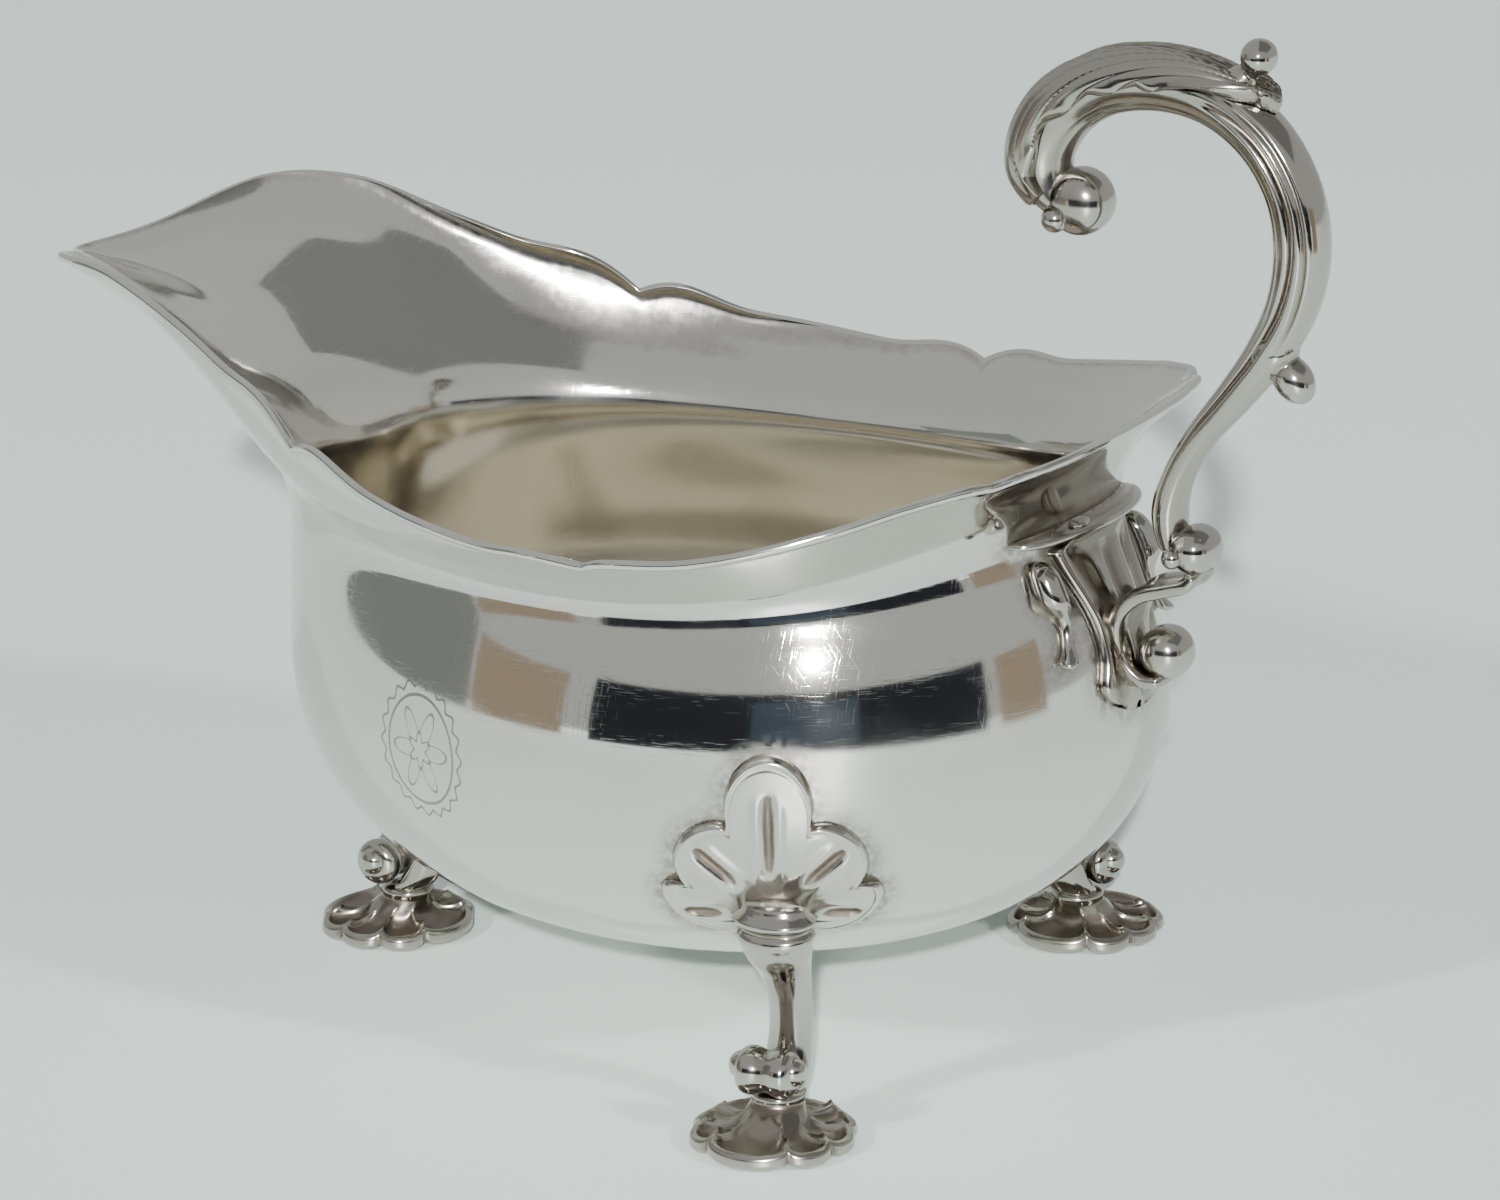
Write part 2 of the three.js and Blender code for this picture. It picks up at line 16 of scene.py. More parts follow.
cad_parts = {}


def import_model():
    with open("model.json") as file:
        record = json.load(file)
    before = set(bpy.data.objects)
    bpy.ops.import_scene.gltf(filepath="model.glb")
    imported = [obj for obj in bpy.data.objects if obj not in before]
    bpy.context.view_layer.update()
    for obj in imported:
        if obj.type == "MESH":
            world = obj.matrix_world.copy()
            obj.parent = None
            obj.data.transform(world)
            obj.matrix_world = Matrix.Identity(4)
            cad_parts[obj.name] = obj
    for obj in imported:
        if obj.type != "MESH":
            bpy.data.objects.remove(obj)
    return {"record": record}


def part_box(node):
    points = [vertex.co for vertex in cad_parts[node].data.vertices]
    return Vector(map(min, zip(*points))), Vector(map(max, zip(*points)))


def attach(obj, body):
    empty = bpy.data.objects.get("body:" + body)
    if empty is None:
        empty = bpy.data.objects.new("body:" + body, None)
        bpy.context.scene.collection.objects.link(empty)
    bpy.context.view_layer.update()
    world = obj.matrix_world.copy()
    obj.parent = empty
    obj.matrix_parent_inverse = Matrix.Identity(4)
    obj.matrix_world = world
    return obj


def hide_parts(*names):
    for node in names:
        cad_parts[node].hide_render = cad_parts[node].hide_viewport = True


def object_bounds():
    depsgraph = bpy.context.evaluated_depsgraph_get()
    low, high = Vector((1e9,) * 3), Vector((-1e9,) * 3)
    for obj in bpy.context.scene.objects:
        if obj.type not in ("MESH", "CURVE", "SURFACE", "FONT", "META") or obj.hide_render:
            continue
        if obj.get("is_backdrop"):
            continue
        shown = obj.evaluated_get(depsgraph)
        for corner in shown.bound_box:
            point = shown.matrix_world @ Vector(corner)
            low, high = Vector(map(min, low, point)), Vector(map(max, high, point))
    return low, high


LOG = logging.getLogger("sauce_boat")
MM = 0.001
TURN = 2 * math.pi


class Mark(Enum):
    """Numbers kept at each vertex for the finishes to read."""

    HOLLOW = "hollow"
    FILM = "film"
    # Soil mark: how near the bowl lies to the castings soldered on it; it darkens the bowl as
    # tarnish and as painted contact shade.
    SOIL_AND_SHADE = "soil_and_contact_shade"


# ---- curves ------------------------------------------------------------------------------


def catmull_rom(
    points: np.ndarray, at: np.ndarray, closed: bool = False, even: bool = False,
) -> np.ndarray:
    """Points on a smooth curve through the given stations.

    Args:
        points: stations, one row each.
        at: places along the curve, 0 to 1.
        closed: join the last station to the first.
        even: give every span the same length of parameter.

    Returns:
        One row for each place.
    """
    count = len(points)
    if closed:
        place = (np.asarray(at) % 1.0) * count
        first = np.floor(place).astype(int)
        a, b, c, d = (points[(first + k) % count] for k in (-1, 0, 1, 2))
    else:
        place = np.clip(at, 0, 1) * (count - 1)
        first = np.minimum(np.floor(place).astype(int), count - 2)
        longer = np.vstack([2 * points[:1] - points[1:2], points, 2 * points[-1:] - points[-2:-1]])
        a, b, c, d = (longer[first + k] for k in (0, 1, 2, 3))
    share = (place - first)[:, None]
    if closed or even:
        leave, arrive = (c - a) / 2, (d - b) / 2
    else:
        s0, s1, s2 = (
            np.maximum(np.sqrt(np.linalg.norm(q - p, axis=1, keepdims=True)), 1e-3)
            for p, q in ((a, b), (b, c), (c, d))
        )
        leave = ((b - a) / s0 - (c - a) / (s0 + s1) + (c - b) / s1) * s1
        arrive = ((c - b) / s1 - (d - b) / (s1 + s2) + (d - c) / s2) * s1
    square, cube = share ** 2, share ** 3
    return (
        b * (2 * cube - 3 * square + 1) + leave * (cube - 2 * square + share)
        + c * (3 * square - 2 * cube) + arrive * (cube - square)
    )


def spline_weights(at: np.ndarray, count: int, degree: int = 3) -> np.ndarray:
    """Weights of a clamped cubic spline's control points.

    Args:
        at: places along the spline, 0 to 1.
        count: number of control points.
        degree: degree of the spline.

    Returns:
        One row of weights for each place.
    """
    inner = np.linspace(0, 1, count - degree + 1)
    knots = np.concatenate([np.zeros(degree), inner, np.ones(degree)])
    place = np.clip(at, 0, 1 - 1e-9)[:, None]
    weights = ((place >= knots[:-1]) & (place < knots[1:])).astype(float)
    for d in range(1, degree + 1):
        rise = np.where(knots[d:-1] > knots[:-d - 1], knots[d:-1] - knots[:-d - 1], 1)
        fall = np.where(knots[d + 1:] > knots[1:-d], knots[d + 1:] - knots[1:-d], 1)
        weights = (
            (place - knots[:-d - 1]) / rise * weights[:, :-1]
            + (knots[d + 1:] - place) / fall * weights[:, 1:]
        )
    return weights


def smoothstep(value: np.ndarray, low: float, high: float) -> np.ndarray:
    """A smooth ramp from 0 at low to 1 at high."""
    share = np.clip((value - low) / (high - low), 0, 1)
    return share * share * (3 - 2 * share)


def bump(value: np.ndarray, centre: float, spread: float) -> np.ndarray:
    """A bell curve of height 1 about centre."""
    return np.exp(-(((value - centre) / spread) ** 2))


def unit(rows: np.ndarray) -> np.ndarray:
    """Each row scaled to length 1."""
    return rows / np.maximum(np.linalg.norm(rows, axis=1, keepdims=True), 1e-12)


def round_ends(v: np.ndarray, first: float, last: float) -> np.ndarray:
    """A factor that closes a skin with a round end at each side.

    Args:
        v: places along the skin, 0 to 1.
        first: length of the first end, as a share of the skin.
        last: length of the last end, as a share of the skin.

    Returns:
        1 along the middle, falling to 0 at both ends.
    """
    opening = np.sqrt(np.clip(1 - (np.maximum(0, first - v) / first) ** 2, 0, 1))
    closing = np.sqrt(np.clip(1 - (np.maximum(0, v - (1 - last)) / last) ** 2, 0, 1))
    return opening * closing


def directions(path: np.ndarray, t: np.ndarray) -> np.ndarray:
    """Which way a smooth curve through the stations runs at each place."""
    step = 1e-3
    ahead = catmull_rom(path, np.minimum(t + step, 1))
    return unit(ahead - catmull_rom(path, np.maximum(t - step, 0)))


# ---- meshes ------------------------------------------------------------------------------


def bent_grid(around: int, along: int, place, paint=None) -> bmesh.types.BMesh:
    """A closed skin: a flat grid bent into place, then welded at its seam and its two ends.

    Args:
        around: faces round the skin.
        along: faces from one end to the other.
        place: from arrays u and v, 0 to 1, to an array of positions in millimetres.
        paint: from arrays u and v to the film mark of each vertex, or None.

    Returns:
        The bmesh, in metres.
    """
    bm = bmesh.new()
    bmesh.ops.create_grid(bm, x_segments=around, y_segments=along, size=0.5)
    bm.verts.ensure_lookup_table()
    flat = np.array([vertex.co for vertex in bm.verts]) + 0.5
    u, v = np.round(flat[:, 0] * around) / around, np.round(flat[:, 1] * along) / along
    spots = place(u, v) * MM
    film = bm.verts.layers.float.new(Mark.FILM.value)
    marks = paint(u, v) if paint else np.zeros(len(u))
    for vertex, spot, mark in zip(bm.verts, spots, marks):
        vertex.co = spot
        vertex[film] = mark
    bmesh.ops.remove_doubles(bm, verts=bm.verts, dist=1e-7)
    bmesh.ops.dissolve_degenerate(bm, dist=1e-8, edges=bm.edges)
    bmesh.ops.recalc_face_normals(bm, faces=bm.faces)
    return bm


def spun(profile: np.ndarray, steps: int) -> bmesh.types.BMesh:
    """A turned body about the Y axis.

    Args:
        profile: radius and place along Y, in millimetres, from one end of the axis to the other.
        steps: faces round the body.

    Returns:
        The bmesh, in metres, about the origin.
    """
    bm = bmesh.new()
    stations = [bm.verts.new((radius * MM, along * MM, 0)) for radius, along in profile]
    edges = [bm.edges.new(pair) for pair in zip(stations[:-1], stations[1:])]
    bmesh.ops.spin(
        bm, geom=stations + edges, cent=(0, 0, 0), axis=(0, 1, 0), dvec=(0, 0, 0),
        angle=TURN, steps=steps, use_merge=True, use_duplicate=False,
    )
    bmesh.ops.remove_doubles(bm, verts=bm.verts, dist=1e-7)
    bmesh.ops.recalc_face_normals(bm, faces=bm.faces)
    return bm


def turned(outline: tuple, stations: int, steps: int) -> bmesh.types.BMesh:
    """A turned body from a rough outline that is smoothed first.

    Args:
        outline: pairs of radius and place along Y, in millimetres.
        stations: rows of the smooth outline.
        steps: faces round the body.

    Returns:
        The bmesh, in metres, about the origin.
    """
    profile = catmull_rom(np.array(outline), np.linspace(0, 1, stations))
    profile[:, 0] = np.maximum(profile[:, 0], 0)
    return spun(profile, steps)


def shift(bm: bmesh.types.BMesh, spot: Vector, turn: Matrix) -> bmesh.types.BMesh:
    """Turn a bmesh about the origin, then move the origin to a spot in metres."""
    bmesh.ops.transform(bm, matrix=Matrix.Translation(spot) @ turn, verts=bm.verts)
    return bm


def box_middle(node: str) -> Vector:
    """The middle of a CAD node's box, in metres."""
    low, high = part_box(node)
    return (low + high) / 2


def mark_hollows(mesh: bpy.types.Mesh, spread: float) -> None:
    """Store how far each vertex lies below its surroundings, in tenths of a millimetre.

    Args:
        mesh: a finished mesh.
        spread: how far round a vertex its surroundings reach, in millimetres.
    """
    count = len(mesh.vertices)
    co = np.empty(count * 3)
    normals = np.empty(count * 3)
    pairs = np.empty(len(mesh.edges) * 2, dtype=np.int32)
    mesh.vertices.foreach_get("co", co)
    mesh.vertex_normals.foreach_get("vector", normals)
    mesh.edges.foreach_get("vertices", pairs)
    co, normals, pairs = co.reshape(-1, 3), normals.reshape(-1, 3), pairs.reshape(-1, 2)
    ends = np.concatenate([pairs[:, 0], pairs[:, 1]])
    others = np.concatenate([pairs[:, 1], pairs[:, 0]])
    degree = np.maximum(np.bincount(ends, minlength=count), 1)
    spacing = np.median(np.linalg.norm(co[pairs[:, 0]] - co[pairs[:, 1]], axis=1))
    steps = int(np.clip((spread * MM / spacing) ** 2, 3, 60))
    soft = co.copy()
    for _ in range(steps):
        sums = [np.bincount(ends, weights=soft[others, k], minlength=count) for k in range(3)]
        soft = np.stack(sums, axis=1) / degree[:, None]
    depth = ((soft - co) * normals).sum(axis=1) / (0.1 * MM)
    layer = mesh.attributes.new(Mark.HOLLOW.value, "FLOAT", "POINT")
    layer.data.foreach_set("value", np.clip(depth, -1, 1))


class Workshop:
    """Turns finished bmeshes into pieces that ride on the frame."""

    def __init__(self) -> None:
        """Start with no pieces."""
        self.pieces: dict[str, bpy.types.Object] = {}

    def add(self, name: str, bm: bmesh.types.BMesh, finish: bpy.types.Material, slot: str,
            replaces: tuple[str, ...] = (), spread: float = 1.2) -> bpy.types.Object:
        """Make a piece of a bmesh.

        Args:
            name: name of the piece.
            bm: its shape, in metres; freed here.
            finish: its material.
            slot: the record's material slot; not used.
            replaces: CAD nodes that it stands for.
            spread: reach of the hollows' mark, in millimetres.

        Returns:
            The new object.
        """
        for face in bm.faces:
            face.smooth = True
        mesh = bpy.data.meshes.new(name)
        bm.to_mesh(mesh)
        bm.free()
        mark_hollows(mesh, spread)
        mesh.materials.append(finish)
        piece = bpy.data.objects.new(name, mesh)
        bpy.context.scene.collection.objects.link(piece)
        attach(piece, "root")
        if replaces:
            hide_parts(*replaces)
        self.pieces[name] = piece
        stands_for = ", ".join(replaces) or "nothing"
        LOG.info("%s: %d faces, stands for %s", name, len(mesh.polygons), stands_for)
        return piece


# ---- finishes ----------------------------------------------------------------------------


def new_group(
    name: str, inputs: dict[str, float], outputs: tuple[str, ...],
) -> bpy.types.ShaderNodeTree:
    """An empty shader group with number sockets.

    Args:
        name: the group's name.
        inputs: socket names and default values.
        outputs: socket names.

    Returns:
        The group, with its Group Input and Group Output nodes named "in" and "out".
    """
    group = bpy.data.node_groups.new(name, "ShaderNodeTree")
    kind = "NodeSocketFloat"
    for label, value in inputs.items():
        socket = group.interface.new_socket(label, in_out="INPUT", socket_type=kind)
        socket.default_value = value
    for label in outputs:
        group.interface.new_socket(label, in_out="OUTPUT", socket_type=kind)
    group.nodes.new("NodeGroupInput").name = "in"
    group.nodes.new("NodeGroupOutput").name = "out"
    return group


@dataclass
class Wiring:
    """Short ways to add and join nodes in one tree."""

    tree: bpy.types.NodeTree

    def node(self, kind: str, **settings) -> bpy.types.Node:
        """Add a node and set its properties."""
        node = self.tree.nodes.new(kind)
        for key, value in settings.items():
            setattr(node, key, value)
        return node

    def join(self, source, target) -> None:
        """Link an output to an input, or set the input when the source is a number."""
        if isinstance(source, (int, float)):
            target.default_value = source
        else:
            self.tree.links.new(source, target)

    def math(self, operation: str, first, second=0.0, clamp: bool = False):
        """A Math node's output.

        Args:
            operation: the operation's name.
            first: an output or a number.
            second: an output or a number.
            clamp: keep the result between 0 and 1.

        Returns:
            The output socket.
        """
        node = self.node("ShaderNodeMath", operation=operation, use_clamp=clamp)
        self.join(first, node.inputs[0])
        self.join(second, node.inputs[1])
        return node.outputs[0]

    def ramp(self, value, low: float, high: float, bottom: float = 0.0, top: float = 1.0):
        """A smooth ramp of a value between two limits.

        Args:
            value: an output.
            low: value at the bottom of the ramp.
            high: value at the top of the ramp.
            bottom: result at low.
            top: result at high.

        Returns:
            The output socket.
        """
        node = self.node("ShaderNodeMapRange", interpolation_type="SMOOTHSTEP")
        self.join(value, node.inputs["Value"])
        limits = {"From Min": low, "From Max": high, "To Min": bottom, "To Max": top}
        for key, number in limits.items():
            node.inputs[key].default_value = number
        return node.outputs["Result"]

    def noise(self, scale: tuple, detail: float, turn: tuple = (0, 0, 0)):
        """Noise on Object coordinates, stretched along the axes.

        Args:
            scale: cells in a metre along each axis.
            detail: octaves.
            turn: turn of the pattern, in radians.

        Returns:
            The output socket of the noise, 0 to 1.
        """
        place = self.node("ShaderNodeTexCoord").outputs["Object"]
        mapping = self.node("ShaderNodeMapping")
        mapping.inputs["Rotation"].default_value = turn
        mapping.inputs["Scale"].default_value = scale
        self.join(place, mapping.inputs["Vector"])
        noise = self.node("ShaderNodeTexNoise")
        noise.inputs["Scale"].default_value = 1
        noise.inputs["Detail"].default_value = detail
        self.join(mapping.outputs["Vector"], noise.inputs["Vector"])
        return noise.outputs["Fac"]

    def mark(self, mark: Mark):
        """The output socket of a number kept at each vertex."""
        return self.node("ShaderNodeAttribute", attribute_name=mark.value).outputs["Fac"]

    def mix(self, share, first, second):
        """A mix of two colours.

        Args:
            share: how much of the second.
            first: a colour or an output.
            second: a colour or an output.

        Returns:
            The output socket.
        """
        node = self.node("ShaderNodeMix", data_type="RGBA")
        self.join(share, node.inputs["Factor"])
        for source, target in ((first, node.inputs[6]), (second, node.inputs[7])):
            if isinstance(source, tuple):
                target.default_value = (*source, 1.0)
            else:
                self.join(source, target)
        return node.outputs[2]


def build_handling_group() -> bpy.types.ShaderNodeTree:
    """The marks of use: fine scratches as a height, and smudges as a mask."""
    group = new_group("handling_marks", {"Scratches": 1.0, "Smudges": 1.0}, ("Height", "Smudge"))
    w = Wiring(group)
    source, sink = group.nodes["in"], group.nodes["out"]
    lines = [
        w.ramp(w.noise((9000, 260, 260), 2, (0.3, 0.5, 0.2)), 0.6, 0.75),
        w.ramp(w.noise((240, 8200, 300), 2, (0.2, -0.7, 0.9)), 0.62, 0.78),
        w.ramp(w.noise((260, 300, 9500), 2, (0.5, 0.2, -0.4)), 0.6, 0.76),
    ]
    total = w.math("ADD", w.math("ADD", lines[0], lines[1]), lines[2])
    w.join(w.math("MULTIPLY", total, source.outputs["Scratches"]), sink.inputs["Height"])
    cloud = w.ramp(w.noise((45, 45, 60), 4), 0.42, 0.68)
    w.join(w.math("MULTIPLY", cloud, source.outputs["Smudges"]), sink.inputs["Smudge"])
    return group


def build_tarnish_and_shade_group() -> bpy.types.ShaderNodeTree:
    """Tarnish in hollows, and tarnish with painted contact shade by the joints, broken up at its
    edge.
    """
    inputs = {"Hollow": 0.0, "Soil and contact shade": 0.0, "Amount": 1.0, "Start": 0.1}
    group = new_group("tarnish_and_contact_shade", inputs, ("Tarnish and contact shade", "Polish"))
    w = Wiring(group)
    source, sink = group.nodes["in"], group.nodes["out"]
    hollow = source.outputs["Hollow"]
    raggedness, steepness, polish_from, polish_share = 0.5, 1.5, -0.35, 0.22
    ragged = w.math("SUBTRACT", w.noise((700, 700, 700), 5), 0.5)
    depth = w.math("ADD", hollow, w.math("MULTIPLY", ragged, raggedness))
    over = w.math("SUBTRACT", depth, source.outputs["Start"])
    deep = w.math("MULTIPLY", over, steepness, clamp=True)
    # Painted contact shade by the joints, together with tarnish there: the soil mark, broken into
    # patches.
    patches = w.ramp(w.noise((900, 900, 900), 4), 0.3, 0.62, 0.25)
    soil_and_shade_blot = w.math("MULTIPLY", source.outputs["Soil and contact shade"], patches)
    both = w.math("MAXIMUM", deep, soil_and_shade_blot)
    w.join(w.math("MULTIPLY", both, source.outputs["Amount"], clamp=True), sink.inputs["Tarnish and contact shade"])
    proud = w.math("MULTIPLY", w.math("SUBTRACT", polish_from, hollow), 1.1, clamp=True)
    w.join(w.math("MULTIPLY", proud, polish_share), sink.inputs["Polish"])
    return group


@dataclass(frozen=True)
class SilverFinish:
    """One finish of the silver, from polished sheet to tarnished casting."""

    name: str
    silver: tuple[float, float, float]
    roughness: float
    tarnished_roughness: float
    amount: float
    start: float
    scratches: float
    smudges: float
    # Colour of tarnish in hollows, and also of the painted contact shade by the joints.
    tarnish_and_contact_shade: tuple[float, float, float] = (0.2, 0.16, 0.13)
    polished: tuple[float, float, float] = (0.9, 0.89, 0.86)
    film: tuple[float, float, float] = (0.97, 0.92, 0.8)
    engraving: tuple[float, float, float] = (0.2, 0.18, 0.15)
    ornament: bool = False

    def build(self, groups: dict[str, bpy.types.ShaderNodeTree]) -> bpy.types.Material:
        """Make the material.

        Args:
            groups: the shared shader groups by name.

        Returns:
            The material.
        """
        material = bpy.data.materials.new(self.name)
        material.use_nodes = True
        tree = material.node_tree
        w = Wiring(tree)
        shader = tree.nodes["Principled BSDF"]
        shader.inputs["Metallic"].default_value = 1.0
        marks = w.node("ShaderNodeGroup", node_tree=groups["handling"])
        marks.inputs["Scratches"].default_value = self.scratches
        marks.inputs["Smudges"].default_value = self.smudges
        tarnish_and_shade_node = w.node("ShaderNodeGroup", node_tree=groups["tarnish_and_contact_shade"])
        tarnish_and_shade_node.inputs["Amount"].default_value = self.amount
        tarnish_and_shade_node.inputs["Start"].default_value = self.start
        w.join(w.mark(Mark.HOLLOW), tarnish_and_shade_node.inputs["Hollow"])
        w.join(w.mark(Mark.SOIL_AND_SHADE), tarnish_and_shade_node.inputs["Soil and contact shade"])
        clouds = w.ramp(w.noise((38, 38, 50), 3), 0.3, 0.7, 0.72)
        film = w.math("MULTIPLY", w.mark(Mark.FILM), clouds)
        colour = w.mix(tarnish_and_shade_node.outputs["Polish"], self.silver, self.polished)
        colour = w.mix(film, colour, self.film)
        # Darkens towards the tarnish colour: tarnish in hollows, and painted contact shade by the
        # joints on the bowl.
        colour = w.mix(tarnish_and_shade_node.outputs["Tarnish and contact shade"], colour, self.tarnish_and_contact_shade)
        rough = w.math("ADD", self.roughness, w.math("MULTIPLY", marks.outputs["Smudge"], 0.07))
        rough = w.math("ADD", rough, w.math("MULTIPLY", marks.outputs["Height"], 0.03))
        rough = w.math("ADD", rough, w.math("MULTIPLY", film, 0.05))
        rise = self.tarnished_roughness - self.roughness
        dull = w.math("MULTIPLY", tarnish_and_shade_node.outputs["Tarnish and contact shade"], rise)
        rough = w.math("ADD", rough, dull, clamp=True)
        height = w.math("MULTIPLY", marks.outputs["Height"], -1.0)
        if self.ornament:
            cut = w.node("ShaderNodeGroup", node_tree=groups["ornament"]).outputs["Cut"]
            colour = w.mix(w.math("MULTIPLY", cut, 0.75), colour, self.engraving)
            rough = w.math("ADD", rough, w.math("MULTIPLY", cut, 0.25), clamp=True)
            height = w.math("SUBTRACT", height, w.math("MULTIPLY", cut, 6.0))
        relief = w.node("ShaderNodeBump")
        relief.inputs["Strength"].default_value = 0.08
        relief.inputs["Distance"].default_value = 0.02 * MM
        w.join(height, relief.inputs["Height"])
        w.join(colour, shader.inputs["Base Color"])
        w.join(rough, shader.inputs["Roughness"])
        w.join(relief.outputs["Normal"], shader.inputs["Normal"])
        return material


def build_ornament_group() -> bpy.types.ShaderNodeTree:
    """A plain engraved rosette in a beaded ring, cut on the near side of the bowl."""
    group = new_group("engraved_rosette", {"Width": 0.17}, ("Cut",))
    w = Wiring(group)
    source, sink = group.nodes["in"], group.nodes["out"]
    centre = {"X": -11.0, "Z": 47.5}
    squash = 0.78
    split = w.node("ShaderNodeSeparateXYZ")
    w.join(w.node("ShaderNodeTexCoord").outputs["Object"], split.inputs[0])
    x, z = (
        w.math("SUBTRACT", w.math("MULTIPLY", split.outputs[axis], 1 / MM), place)
        for axis, place in centre.items()
    )
    z = w.math("MULTIPLY", z, squash)
    radius = w.math("SQRT", w.math("ADD", w.math("MULTIPLY", x, x), w.math("MULTIPLY", z, z)))
    angle = w.math("ARCTAN2", z, x)

    def ring(base: float, swing: float, petals: int):
        """A wavy closed line about the centre."""
        wave = w.math("MULTIPLY", w.math("COSINE", w.math("MULTIPLY", angle, petals)), swing)
        off = w.math("ABSOLUTE", w.math("SUBTRACT", radius, w.math("ADD", wave, base)))
        return w.math("LESS_THAN", off, source.outputs["Width"])

    cut = ring(7.2, 0.35, 20)
    for line in (ring(6.0, 0.0, 1), ring(3.4, 1.5, 6), ring(1.6, -0.5, 6)):
        cut = w.math("MAXIMUM", cut, line)
    near = w.math("LESS_THAN", split.outputs["Y"], 0.0)
    w.join(w.math("MULTIPLY", cut, near), sink.inputs["Cut"])
    return group


class Finishes:
    """Every material of the boat."""

    def __init__(self) -> None:
        """Build the shared groups and the materials."""
        groups = {
            "handling": build_handling_group(),
            "tarnish_and_contact_shade": build_tarnish_and_shade_group(),
            "ornament": build_ornament_group(),
        }
        self.bowl = SilverFinish(
            "polished_bowl", (0.69, 0.675, 0.63), roughness=0.055, tarnished_roughness=0.35,
            amount=0.8, start=0.75, scratches=1.0, smudges=0.8, ornament=True,
        ).build(groups)
        self.casting = SilverFinish(
            "polished_casting", (0.4, 0.375, 0.33), roughness=0.1, tarnished_roughness=0.35,
            amount=0.85, start=0.14, scratches=0.8, smudges=1.0,
        ).build(groups)
        self.shell = SilverFinish(
            "shell_casting", (0.6, 0.58, 0.53), roughness=0.11, tarnished_roughness=0.38,
            amount=0.9, start=0.3, scratches=0.8, smudges=1.2, tarnish_and_contact_shade=(0.22, 0.175, 0.14),
        ).build(groups)
        self.fluted = SilverFinish(
            "tarnished_casting", (0.34, 0.31, 0.265), roughness=0.14, tarnished_roughness=0.36,
            amount=0.75, start=0.2, scratches=0.8, smudges=1.2, tarnish_and_contact_shade=(0.2, 0.165, 0.14),
        ).build(groups)


# ---- bowl --------------------------------------------------------------------------------


